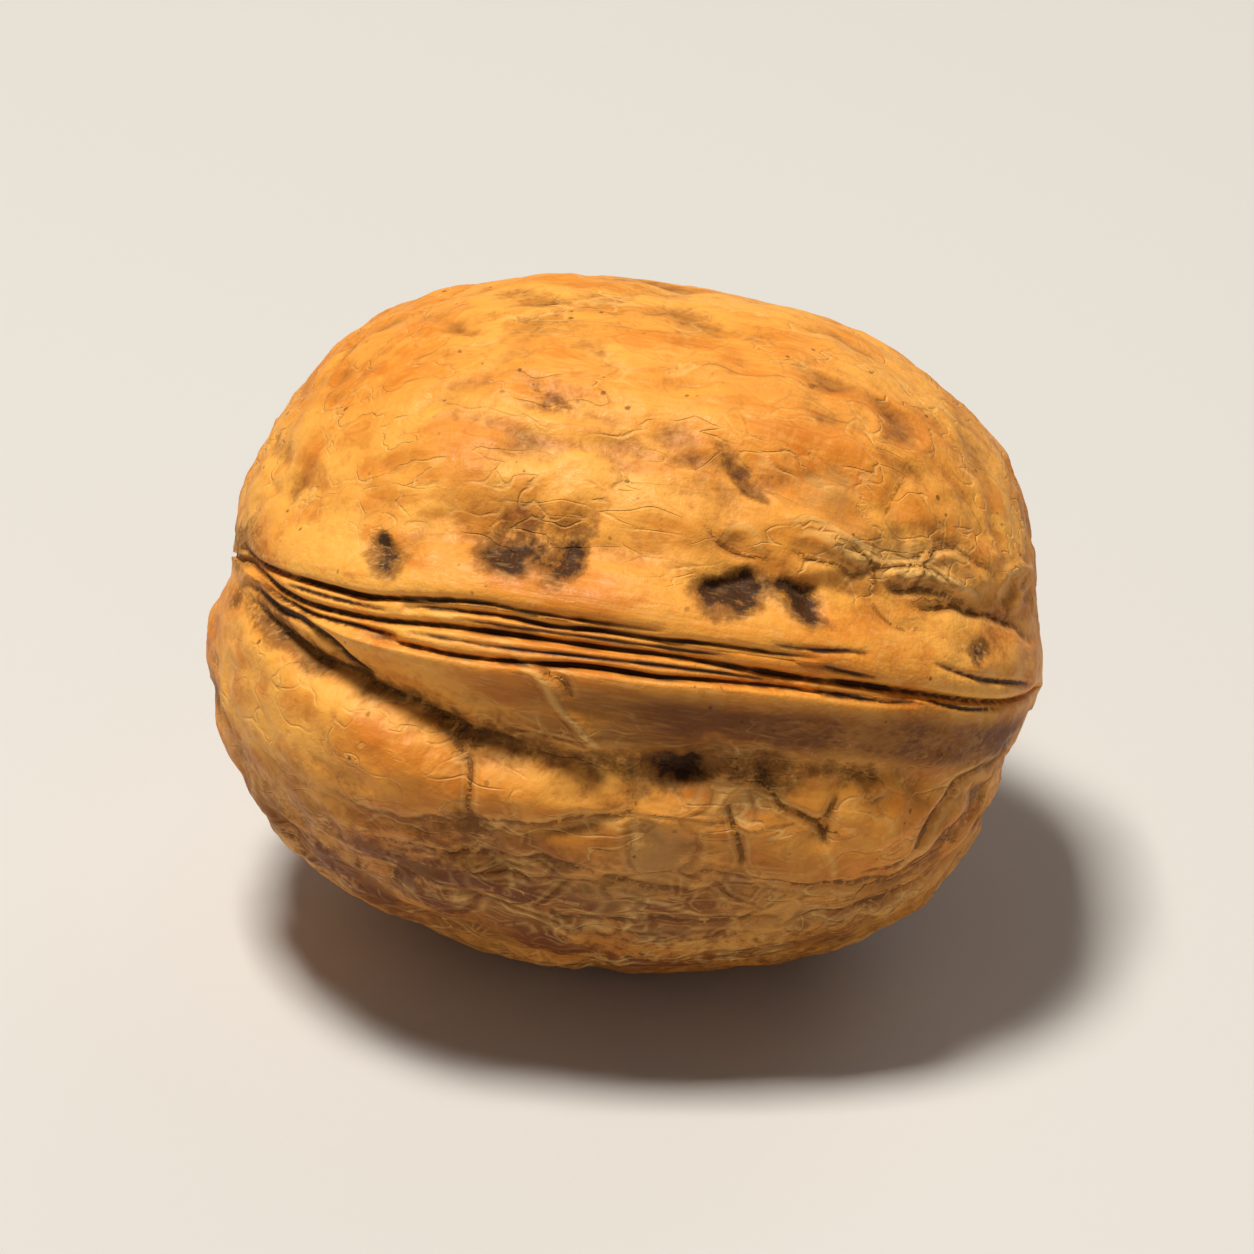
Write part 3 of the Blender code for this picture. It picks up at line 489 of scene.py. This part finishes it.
def endRelief(x, phi, radius):
    rays = np.stack([x / 9, endRays["count"] * np.cos(phi), endRays["count"] * np.sin(phi)], axis=-1)
    nearEnd = ramp(*endRays["start"], np.abs(x)) * ramp(*endRays["offAxis"], radius)
    fine = rays * np.array([1.0, 3.0, 3.0])
    ridges = smoothNoise(rays, 1.0, 5) + endRays["fineShare"] * smoothNoise(fine, 1.0, 9)
    return endRays["depth"] * nearEnd * ridges


def scarRelief(x, phi, radius):
    # the torn fibres where the stem was
    reach = hill(radius, stemScar["reach"]) * (x < 0)
    turns = np.stack([np.cos(phi), np.sin(phi), radius * 0.12], axis=-1)
    turns = turns * np.array([1, 1, 0.1]) * stemScar["fibres"]
    ring = reach * ramp(0.2, 0.9, radius)
    sunk = stemScar["sink"] * hill(radius, stemScar["sinkReach"]) * (x < 0)
    return ring * stemScar["height"] * smoothNoise(turns, 1.0, 10) - sunk, reach


def roughnessShare(z, phi, radius):
    shownSide = np.where(z > 0, roughness["upper"], roughness["lower"])
    share = roughness["far"] + (shownSide - roughness["far"]) * ramp(*roughness["sideEdge"], np.cos(phi))
    onLip = np.zeros_like(z)
    for seamAt in (shellForm["seamTurn"], shellForm["seamTurn"] + math.pi):
        fromSeam = np.abs(angleGap(phi, seamAt)) * radius
        onLip = np.maximum(onLip, 1 - ramp(*roughness["lipEdge"], fromSeam))
    return share * (1 - (1 - roughness["lip"]) * onLip), onLip


def wrinkleRelief(points, share):
    # fine creased skin, longer along the nut than across
    warp = np.stack([smoothNoise(points, fineRelief["warpSize"], seed) for seed in (21, 22, 23)], axis=-1)
    folded = (points + fineRelief["warp"] * warp) / np.array([fineRelief["wrinkleStretch"], 1, 1])
    ridged = fineRelief["wrinkleLevel"] - np.abs(smoothNoise(folded, fineRelief["wrinkleSize"], 15))
    small = fineRelief["grainLevel"] - np.abs(smoothNoise(folded, fineRelief["grainSize"], 16))
    height = fineRelief["wrinkleHeight"] * ridged + fineRelief["grainHeight"] * small
    edge = cellEdge(folded * np.array([1.3, 1, 1]), fineRelief["netCell"], 13)
    groove = hill(edge, fineRelief["netGroove"]) * ramp(-0.35, 0.25, smoothNoise(points, 5.0, 14))
    height = height * (fineRelief["least"] + share)
    return height - fineRelief["netDepth"] * groove * share, groove


# The mottling that the finish reads: the sizes of its patches, and how the cells of its cracks are bent
mottling = dict(
    broad=7.0, middle=2.2, warm=1.2, patch=3.2, somewhere=2.6, streak=1.5, lengthways=0.4,
    bend=0.42, bendSize=1.8, cellLengthways=0.5,
)


def bentPlaces(points):
    # the same places, longer cells along the nut, pushed about by a smooth noise
    push = np.stack([smoothNoise(points, mottling["bendSize"], seed) for seed in (61, 62, 63)], axis=-1)
    return points * np.array([mottling["cellLengthways"], 1, 1]) + mottling["bend"] * push


def shellRelief(points, phi):
    # height along the normal, and the masks that the finish reads
    x, y, z = points.T
    radius = np.hypot(y, z)
    facing = np.cos(phi)
    front = ramp(0.0, shellForm["sideBlend"], facing)
    back = ramp(0.0, shellForm["sideBlend"], -facing)
    share, onLip = roughnessShare(z, phi, radius)
    share = share * (1 - spots(x, -z, calmPatches) * front)

    height = shellForm["swellHeight"] * smoothNoise(points, shellForm["swellSize"], 6)
    netHeight, netGroove = netRelief(points)
    furrowHeight = furrowRelief(points, phi, radius)
    lumpPlaces = points / np.array([lumps["stretch"], 1, 1])
    lumpHeight = lumps["height"] * smoothNoise(lumpPlaces, lumps["size"], 17)
    height = height + (netHeight + furrowHeight + endRelief(x, phi, radius)) * share
    height = height + lumpHeight * (1 - 0.8 * onLip)
    crumpleHeight, crumpleReach = crumpled(x, -z)
    height = height + crumpleHeight * front

    # ragged edges, so that no mark is a clean oval
    raggedX = fineRelief["ragged"] * smoothNoise(points, fineRelief["raggedSize"], 11)
    raggedV = fineRelief["ragged"] * smoothNoise(points, fineRelief["raggedSize"], 12)
    frontX, frontV = x + raggedX, -z + raggedV
    backX, backV = x + raggedX, z + raggedV

    frontSeamHeight, frontOff = seamRelief(x, -z, frontSeam)
    backSeamHeight, _ = seamRelief(x, z, backSeam)
    fissureWay = lineShape["fissureRounding"], lineShape["fissureVary"]
    frontLines, frontDark, _, _ = lineSet(x, -z, frontFissures, *fissureWay)
    backLines, backDark, _, _ = lineSet(x, z, backFissures, *fissureWay)
    bentX, bentV = x + raggedX * fineRelief["lineBend"], raggedV * fineRelief["lineBend"]
    frontCreaseHeight, _, frontGap, frontStrength = lineSet(bentX, bentV - z, frontCreases)
    frontFoldHeight, _, foldGap, foldStrength = lineSet(bentX, bentV - z, frontFolds)
    backCreaseHeight, _, backGap, backStrength = lineSet(bentX, bentV + z, backCreases)
    height = height + front * (
        frontSeamHeight + frontLines + frontCreaseHeight + frontFoldHeight
        + spots(frontX, frontV, frontSwellings) - spots(frontX, frontV, frontPits, steep=1.4)
    )
    height = height + back * (
        backSeamHeight + backLines + backCreaseHeight
        + spots(backX, backV, backSwellings) - spots(backX, backV, backPits, steep=1.4)
    )
    wrinkles, fineGroove = wrinkleRelief(points, np.maximum(share, crumpleReach * front * 0.9))
    height = height + wrinkles * (1 - 0.75 * onLip)
    scarHeight, scar = scarRelief(x, phi, radius)
    height = height * ramp(0.0, shellForm["calmAxis"], radius) + scarHeight

    frontStain = spots(frontX, frontV, darkStains, rim=1.0)
    # the valley under the lower lip: partly dark stains, partly painted shade under the lip
    valleyStainAndShade = np.zeros_like(x)
    for course, width, strength in valleyStainAndShadeLines:
        gap, _ = lineGap(frontX, frontV, course)
        valleyStainAndShade = np.maximum(valleyStainAndShade, strength * hill(gap, width))
    backStain = spots(backX, backV, [(*mark[:5], 0.9) for mark in backPits], rim=1.0)
    lengthwise = points * np.array([mottling["lengthways"], 1, 1])
    bent = bentPlaces(points)
    inValley = (frontOff > 0) & (-z > along(frontSeam["course"], x))
    faceEnd = along(frontSeam["lowerValley"], x)
    # how low each point lies, in grooves and wrinkles and between lumps; the finish paints shade in the low
    # places and highlights on the raised ones from it
    lowness = share * (0.9 * netGroove + 0.5 * fineGroove)
    lowness = lowness - 2.0 * lumpHeight - 1.2 * crumpleHeight * front
    masks = dict(
        fissure=front * frontDark + back * backDark,
        creaseGap=np.where(facing > 0, frontGap, backGap),
        crease=front * frontStrength + back * backStrength,
        foldGap=foldGap,
        fold=front * foldStrength,
        rough=np.maximum(share + 0.08 * front * (z < 0), 0.8 * crumpleReach * front) * (1 - onLip),
        # darker and browner towards the bottom: partly the shell's own browner colour, partly painted shade
        under=ramp(8.0, 14.0, -z) * ramp(-0.3, 0.3, facing),
        broad=cloud(lengthwise, mottling["broad"], 41, 2),
        middle=cloud(lengthwise, mottling["middle"], 44),
        warm=cloud(lengthwise, mottling["warm"], 48, 2),
        patch=cloud(points, mottling["patch"], 51, 2),
        somewhere=cloud(points, mottling["somewhere"], 54, 2),
        streak=cloud(bent * np.array([0.5, 1, 1]), mottling["streak"], 57),
        # stains, and the painted shade along the valley under the lower lip
        stainAndValleyShade=np.clip(front * np.maximum(frontStain, valleyStainAndShade) + back * backStain, 0, 1.3),
        rust=np.clip(front * spots(frontX, frontV, rustStains, rim=1.0), 0, 1.3),
        bloom=np.clip(front * spots(frontX, frontV, greyBloom, rim=1.0), 0, 1),
        # how low each point lies: the finish paints shade in the grooves and hollows and highlights on
        # raised spots from it
        low=np.clip(lowness + np.clip(-furrowHeight * 1.6, 0, 0.8) * share - 2.5 * wrinkles, -1, 1),
        # the down-facing face of the lower lip, which the finish paints dark for the shade it lies in
        lowerFace=np.where(inValley, ramp(0.0, 1.4, frontOff) * ramp(0.4, -1.2, -z - faceEnd), 0) * front
        * ramp(-13, 3, x),
        onLip=onLip,
        far=1 - ramp(-0.5, 0.2, facing),
        crumple=front * crumpleReach,
        scar=scar,
    )
    return height, masks


# The mesh

def columnAngles(place):
    # angle round from the seam for places 0 to 1 round the nut
    angle = np.linspace(-math.pi, math.pi, 2001)
    density = 1 + weave["nearShare"] * np.cos(angle / 2) ** 2
    density = density + weave["frontCrowding"] * hill(angle, weave["reach"])
    density = density + weave["backCrowding"] * hill(math.pi - np.abs(angle), weave["reach"])
    passed = np.concatenate([[0], np.cumsum((density[1:] + density[:-1]) / 2)])
    return np.interp(place, passed / passed[-1], angle)


def seamAngle(tau, seam):
    x, radius = outline(shellForm["seam"], tau)
    return -np.arcsin(np.clip(along(seam["course"], x) / np.maximum(radius, mm), -0.3, 0.3))


def laidDown(points):
    turn = Matrix.Rotation(lying["dip"], 3, "Y") @ Matrix.Rotation(-lying["turnBack"], 3, "X")
    x, y, z = (points @ np.array(turn).T + np.array(lying["shift"])).T
    offFlat = ramp(lying["flatRadius"], lying["flatEdge"], np.hypot(x, y))
    z = np.where(z < lying["flatReachUp"], z * offFlat, z)
    return np.stack([x, y, np.maximum(z, 0)], axis=-1)


def keptInside(points):
    # the outermost points pressed softly back inside the CAD box, the flat left as it is
    low, high = (np.array(corner) / mm for corner in cadBox)
    low[2] = -farOff
    soft = lying["pressedIn"]
    over = np.maximum(points - high + soft, 0) / soft
    under = np.maximum(low + soft - points, 0) / soft
    return points - soft * (over - np.tanh(over)) + soft * (under - np.tanh(under))


def makeShell():
    shape = bmesh.new()
    bmesh.ops.create_uvsphere(shape, u_segments=weave["columns"], v_segments=weave["rings"], radius=1)
    bmesh.ops.recalc_face_normals(shape, faces=shape.faces)
    mesh = bpy.data.meshes.new("walnutShell")
    shape.to_mesh(mesh)
    shape.free()
    unit = np.zeros(len(mesh.vertices) * 3)
    mesh.vertices.foreach_get("co", unit)
    unit = unit.reshape(-1, 3)
    tau = np.arccos(np.clip(unit[:, 2], -1, 1))
    angle = columnAngles(np.arctan2(unit[:, 1], unit[:, 0]) / (2 * math.pi) + 0.5)
    frontShare = np.cos(angle / 2) ** 2
    phi = angle + frontShare * seamAngle(tau, frontSeam) + (1 - frontShare) * seamAngle(tau, backSeam)
    bare = bareShell(tau, phi)
    height, masks = shellRelief(bare, phi)
    placed = keptInside(laidDown(bare + outward(tau, phi) * height[:, None]))
    mesh.vertices.foreach_set("co", (placed * mm).ravel())
    mesh.flip_normals()
    mesh.shade_smooth()
    for name, values in masks.items():
        layer = mesh.attributes.new(name, "FLOAT", "POINT")
        layer.data.foreach_set("value", values.astype(np.float32))
    for name, places in (("nutPlace", bare), ("bentPlace", bentPlaces(bare))):
        layer = mesh.attributes.new(name, "FLOAT_VECTOR", "POINT")
        layer.data.foreach_set("vector", places.astype(np.float32).ravel())
    mesh.update()
    return mesh


# Shader maths as expressions

class Value:
    def __init__(self, tree, socket):
        self.tree, self.socket = tree, socket

    def maths(self, operation, *others, clamp=False):
        return self.tree.node(
            "ShaderNodeMath", dict(operation=operation, use_clamp=clamp),
            {i: other for i, other in enumerate((self, *others))},
        )[0]

    def __add__(self, other): return self.maths("ADD", other)
    def __radd__(self, other): return self.maths("ADD", other)
    def __sub__(self, other): return self.maths("SUBTRACT", other)
    def __rsub__(self, other): return self.tree.number(other).maths("SUBTRACT", self)
    def __mul__(self, other): return self.maths("MULTIPLY", other)
    def __rmul__(self, other): return self.maths("MULTIPLY", other)

    def away(self, level): return self.maths("SUBTRACT", level).maths("ABSOLUTE")
    def clipped(self): return self.maths("ADD", 0.0, clamp=True)


class Finish:
    def __init__(self, name):
        self.material = bpy.data.materials.new(name)
        self.material.use_nodes = True
        self.nodes = self.material.node_tree.nodes
        self.links = self.material.node_tree.links
        self.shader = self.nodes["Principled BSDF"]

    def node(self, kind, settings, sockets):
        made = self.nodes.new(kind)
        for name, value in settings.items():
            setattr(made, name, value)
        for name, value in sockets.items():
            self.feed(made.inputs[name], value)
        return [Value(self, socket) for socket in made.outputs]

    def feed(self, socket, value):
        if isinstance(value, Value):
            self.links.new(value.socket, socket)
        else:
            socket.default_value = value

    def number(self, value):
        return self.node("ShaderNodeMath", dict(operation="ADD"), {0: value, 1: 0.0})[0]

    def mask(self, name):
        return self.node("ShaderNodeAttribute", dict(attribute_name=name), {})[2]

    def place(self, name, scale):
        found = self.node("ShaderNodeAttribute", dict(attribute_name=name), {})[1]
        return self.node("ShaderNodeVectorMath", dict(operation="MULTIPLY"), {0: found, 1: scale})[0]

    def noise(self, place, scale, detail, rough):
        return self.node(
            "ShaderNodeTexNoise", {},
            {"Vector": place, "Scale": scale, "Detail": detail, "Roughness": rough},
        )[0]

    def cells(self, place, scale, feature="F1"):
        return self.node(
            "ShaderNodeTexVoronoi", dict(feature=feature), {"Vector": place, "Scale": scale}
        )[0]

    def between(self, value, low, high, toLow=0.0, toHigh=1.0):
        return self.node(
            "ShaderNodeMapRange", dict(interpolation_type="SMOOTHSTEP", clamp=True),
            {0: value, 1: low, 2: high, 3: toLow, 4: toHigh},
        )[0]

    def mix(self, share, first, second):
        return self.node(
            "ShaderNodeMix", dict(data_type="RGBA", clamp_factor=True), {0: share, 6: first, 7: second}
        )[2]


def colour(red, green, blue):
    # a colour given as it looks on screen, 0 to 255
    parts = [part / 255 for part in (red, green, blue)]
    return (*[p / 12.92 if p <= 0.04045 else ((p + 0.055) / 1.055) ** 2.4 for p in parts], 1.0)


shellFinish = dict(
    golden=colour(232, 146, 49), pale=colour(246, 175, 76), honey=colour(210, 122, 36),
    # dull and brown also paint the shade in the grooves and hollows, and dull the shade beside the creases
    orange=colour(202, 102, 22), dull=colour(170, 106, 38), brown=colour(120, 66, 15),
    deepBrown=colour(68, 36, 16), halo=colour(122, 76, 30), stainAndValleyShade=colour(52, 34, 19),
    rust=colour(114, 58, 20), bloom=colour(190, 146, 86), vein=colour(250, 198, 116),
    # face is mostly painted shade on the lower lip's down-facing face, partly its browner colour; under is
    # the bottom's browner colour, partly painted shade
    fissure=colour(50, 23, 9), pore=colour(58, 30, 14), face=colour(115, 61, 4),
    under=colour(115, 56, 8),
    fineScale=1.6, speckScale=6.0, threadScale=4.0, fibreStretch=(0.1, 1.0, 1.0),
    largeCells=0.34, smallCells=0.95, poreSpread=0.95,
    roughLow=0.42, roughHigh=0.66, specular=0.24,
    bumpHeight=0.0001,
)


def makeShellFinish():
    f = Finish("walnutShell")
    c = shellFinish
    place = f.place("nutPlace", (1.0, 1.0, 1.0))
    fibres = f.place("nutPlace", c["fibreStretch"])
    bent = f.place("bentPlace", (1.0, 1.0, 1.0))
    onLip, far, low, rough = f.mask("onLip"), f.mask("far"), f.mask("low"), f.mask("rough")
    broad, middle, warm, streak = f.mask("broad"), f.mask("middle"), f.mask("warm"), f.mask("streak")
    patch, somewhere, lowerFace = f.mask("patch"), f.mask("somewhere"), f.mask("lowerFace")

    fine = f.noise(place, c["fineScale"], 3.0, 0.66)
    speck = f.noise(place, c["speckScale"], 1.0, 0.6)
    thread = f.noise(fibres, c["threadScale"], 2.0, 0.6)

    # the net of fine cracks with pale rims, in large cells and small ones
    net = f.between(rough, 0.3, 0.9)
    broken = f.between(fine, 0.38, 0.52)
    largeEdge = f.cells(bent, c["largeCells"], "DISTANCE_TO_EDGE")
    largeCrack = f.between(largeEdge, 0.035, 0.008) * net * broken
    largeRim = f.between(largeEdge.away(0.07), 0.05, 0.0) * net
    smallEdge = f.cells(bent, c["smallCells"], "DISTANCE_TO_EDGE")
    smallShare = rough * f.between(patch, 0.36, 0.56) * broken
    smallCrack = f.between(smallEdge, 0.06, 0.015) * smallShare
    smallRim = f.between(smallEdge.away(0.12), 0.08, 0.0) * smallShare

    # ground colour
    base = f.mix(f.between(broad, 0.36, 0.64), c["golden"], c["pale"])
    base = f.mix(f.between(middle, 0.46, 0.7) * 0.6, base, c["honey"])
    base = f.mix(f.between(warm, 0.54, 0.72) * 0.4, base, c["orange"])
    base = f.mix(f.between(fine, 0.5, 0.72) * 0.4, base, c["honey"])
    base = f.mix(f.between(thread, 0.5, 0.3) * 0.35, base, c["pale"])
    base = f.mix(far * f.between(middle, 0.35, 0.65) * 0.4, base, c["honey"])
    base = f.mix(f.between(streak, 0.5, 0.6) * 0.4, base, c["pale"])
    base = f.mix(f.between(streak, 0.42, 0.34) * 0.45, base, c["honey"])
    # the lower half darker towards the bottom: partly its browner colour, partly painted shade
    mottle = f.between(middle + (fine - 0.5) * 0.8, 0.3, 0.6, 0.42, 1.1)
    base = f.mix((f.mask("under") * mottle).clipped(), base, c["under"])
    # the down-facing face of the lower lip: mostly painted shade, partly its browner colour
    base = f.mix(lowerFace * f.between(thread + (middle - 0.5), 0.3, 0.7, 0.78, 1.0), base, c["face"])
    # painted highlight on raised spots and painted shade in the grooves and hollows, by how low each point
    # lies
    base = f.mix(f.between(low * -1.0, 0.1, 0.7) * 0.4, base, c["pale"])
    recessShade = f.between(low + (fine - 0.5) * 0.9, 0.1, 0.7)
    base = f.mix(recessShade * 0.7, base, c["dull"])
    base = f.mix(f.between(low + (fine - 0.5) * 1.2, 0.5, 1.1) * 0.75, base, c["brown"])
    base = f.mix(f.mask("crumple") * f.between(fine, 0.4, 0.6) * 0.4, base, c["dull"])

    # bloom, cracks, creases and folds
    bloomShare = f.between(f.mask("bloom") * (fine * 1.4 + 0.2), 0.25, 0.8)
    base = f.mix(bloomShare * 0.5, base, c["bloom"])
    wobble = (fine - 0.5) * 0.25
    creaseGap = (f.mask("creaseGap") + wobble).maths("ABSOLUTE")
    creaseShare = f.between(f.mask("crease"), 0.03, 0.3)
    creaseLine = f.between(creaseGap, 0.17, 0.04) * creaseShare * broken
    creaseShade = f.between(creaseGap, 0.8, 0.1) * creaseShare
    creaseRim = f.between(creaseGap.away(0.34), 0.16, 0.0) * creaseShare
    foldGap = f.mask("foldGap") + wobble * 0.5
    foldShare = f.between(f.mask("fold"), 0.03, 0.3)
    # the fold's pale crest: partly its paler colour, partly painted highlight
    foldCrest = f.between(foldGap.maths("ABSOLUTE"), 0.24, 0.05) * foldShare
    foldLine = f.between(foldGap.away(0.42), 0.15, 0.03) * foldShare * broken
    base = f.mix(creaseShade * 0.45, base, c["dull"])
    veins = f.between(streak.away(0.5), 0.022, 0.0) * f.between(somewhere, 0.38, 0.58) * (1 - onLip)
    otherVeins = f.between(middle.away(0.52), 0.02, 0.0) * f.between(patch, 0.4, 0.6) * (1 - onLip)
    veins = (veins + otherVeins * 0.7).clipped()
    rims = largeRim * f.between(patch, 0.38, 0.6, 0.15, 0.5) + smallRim * 0.4 + veins * 0.36
    rims = rims + creaseRim * 0.3 + foldCrest * 0.4
    base = f.mix(rims.clipped(), base, c["vein"])
    base = f.mix((largeCrack * 0.6 + smallCrack * 0.4).clipped(), base, c["brown"])
    base = f.mix((creaseLine * 0.65 + foldLine * 0.25).clipped(), base, c["deepBrown"])

    # stains, with the painted shade along the valley under the lower lip
    ragged = (fine - 0.5) * 1.5 + (speck - 0.5) * 0.3 + (middle - 0.5) * 0.8 + 0.76
    rustShare = f.between(f.mask("rust") * ragged, 0.2, 0.75)
    base = f.mix(rustShare * 0.75, base, c["rust"])
    stainedAndShaded = f.mask("stainAndValleyShade") * ragged
    halo = f.between(stainedAndShaded, 0.12, 0.4)
    core = f.between(stainedAndShaded, 0.36, 0.75)
    base = f.mix(halo * 0.75, base, c["halo"])
    base = f.mix(core * 0.94, base, f.mix(f.between(speck, 0.4, 0.6), c["stainAndValleyShade"], c["deepBrown"]))
    base = f.mix(halo * f.between(speck, 0.62, 0.74) * 0.4, base, c["dull"])
    scarShare = f.between(f.mask("scar") * (thread * 1.2 + 0.4), 0.2, 0.8)
    base = f.mix(scarShare * 0.8, base, c["deepBrown"])

    # pores, the pale streaks on the lips, and the fissures
    pores = f.between(f.cells(place, c["poreSpread"]) + (fine - 0.5) * 0.4, 0.12, 0.04)
    pores = pores * f.between(somewhere, 0.4, 0.58)
    base = f.mix(pores * 0.65, base, c["pore"])
    # pale streaks on the upper lip and the cords: painted highlights on their tops, kept off the lower
    # lip's shaded face
    base = f.mix(onLip * (1 - lowerFace) * f.between(thread, 0.52, 0.68) * 0.3, base, c["vein"])
    cordShade = f.between(f.mask("fissure"), 0.08, 0.5) * f.between(thread, 0.3, 0.6)
    base = f.mix(cordShade * 0.55, base, c["brown"])
    fissure = f.between(f.mask("fissure") + (thread - 0.5) * 0.5, 0.35, 0.75)
    base = f.mix(fissure * 0.9, base, c["fissure"])
    f.feed(f.shader.inputs["Base Color"], base)

    shine = f.between(fine, 0.3, 0.7, c["roughLow"], c["roughHigh"]) + halo * 0.15 + bloomShare * 0.12
    f.feed(f.shader.inputs["Roughness"], shine.clipped())
    relief = fine * 0.9 + thread * (onLip * 0.3 + 0.15) + largeRim * 0.5 + foldCrest * 0.5
    relief = relief + creaseRim * 0.3 - largeCrack - creaseLine + veins * 0.5
    bumped = f.node(
        "ShaderNodeBump", {}, {"Strength": 1.0, "Distance": c["bumpHeight"], "Height": relief}
    )[0]
    f.feed(f.shader.inputs["Normal"], bumped)
    f.shader.inputs["Specular IOR Level"].default_value = c["specular"]
    return f.material


print("stage 1: the shell's fine mesh")
walnut = bpy.data.objects.new("walnutShell", makeShell())
bpy.context.scene.collection.objects.link(walnut)
walnut.data.materials.append(makeShellFinish())
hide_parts("walnut")
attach(walnut, "root")


# Floor, light and camera

studio = dict(
    floorSize=3.0, floorColour=(0.66, 0.65, 0.63, 1.0), floorRoughness=0.6,
    skyColour=(1.0, 0.96, 0.9, 1.0), skyStrength=0.11,
    lights=[
        dict(name="key", at=(-0.11, -0.03, 0.57), size=0.12, power=3.8, tint=(1.0, 0.95, 0.87)),
        dict(name="fill", at=(0.35, -0.6, 0.35), size=0.5, power=0.2, tint=(1.0, 0.96, 0.92)),
        dict(name="rim", at=(0.3, 0.5, 0.35), size=0.4, power=0.5, tint=(1.0, 0.98, 0.96)),
    ],
)
view = dict(
    azimuth=4.7, elevation=33.7, roll=0.7, distance=0.5, lens=300.0, clip=(0.01, 20.0),
    aim=(0.0, 0.0, 0.0162),
)


def makeFloor():
    floor = bpy.data.objects.new("floor", bpy.data.meshes.new("floor"))
    half = studio["floorSize"] / 2
    corners = [(-half, -half, 0), (half, -half, 0), (half, half, 0), (-half, half, 0)]
    floor.data.from_pydata(corners, [], [(0, 1, 2, 3)])
    finish = Finish("floor")
    finish.shader.inputs["Base Color"].default_value = studio["floorColour"]
    finish.shader.inputs["Roughness"].default_value = studio["floorRoughness"]
    floor.data.materials.append(finish.material)
    bpy.context.scene.collection.objects.link(floor)
    floor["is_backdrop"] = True


def makeLights():
    aim = Vector(view["aim"])
    for row in studio["lights"]:
        lamp = bpy.data.lights.new(row["name"], "AREA")
        lamp.energy, lamp.size, lamp.color = row["power"], row["size"], row["tint"]
        light = bpy.data.objects.new(row["name"], lamp)
        light.location = row["at"]
        light.rotation_euler = (Vector(row["at"]) - aim).to_track_quat("Z", "Y").to_euler()
        bpy.context.scene.collection.objects.link(light)
    world = bpy.data.worlds.new("studio")
    world.use_nodes = True
    world.node_tree.nodes["Background"].inputs["Color"].default_value = studio["skyColour"]
    world.node_tree.nodes["Background"].inputs["Strength"].default_value = studio["skyStrength"]
    bpy.context.scene.world = world


def makeCamera():
    camera = bpy.data.objects.new("camera", bpy.data.cameras.new("camera"))
    azimuth, elevation = math.radians(view["azimuth"]), math.radians(view["elevation"])
    level = math.cos(elevation)
    back = Vector((math.sin(azimuth) * level, -math.cos(azimuth) * level, math.sin(elevation)))
    camera.location = Vector(view["aim"]) + back * view["distance"]
    rolled = Matrix.Rotation(math.radians(view["roll"]), 3, "Z")
    camera.rotation_euler = (back.to_track_quat("Z", "Y").to_matrix() @ rolled).to_euler()
    camera.data.lens = view["lens"]
    camera.data.clip_start, camera.data.clip_end = view["clip"]
    bpy.context.scene.collection.objects.link(camera)
    bpy.context.scene.camera = camera


print("stage 2: floor, light and camera")
makeFloor()
makeLights()
makeCamera()
bpy.context.scene.view_settings.view_transform = "Standard"
bpy.context.scene.view_settings.look = "None"

boxes = dict(cad=[list(map(float, corner)) for corner in cadBox])
boxes["visual"] = [list(map(float, corner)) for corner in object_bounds()]
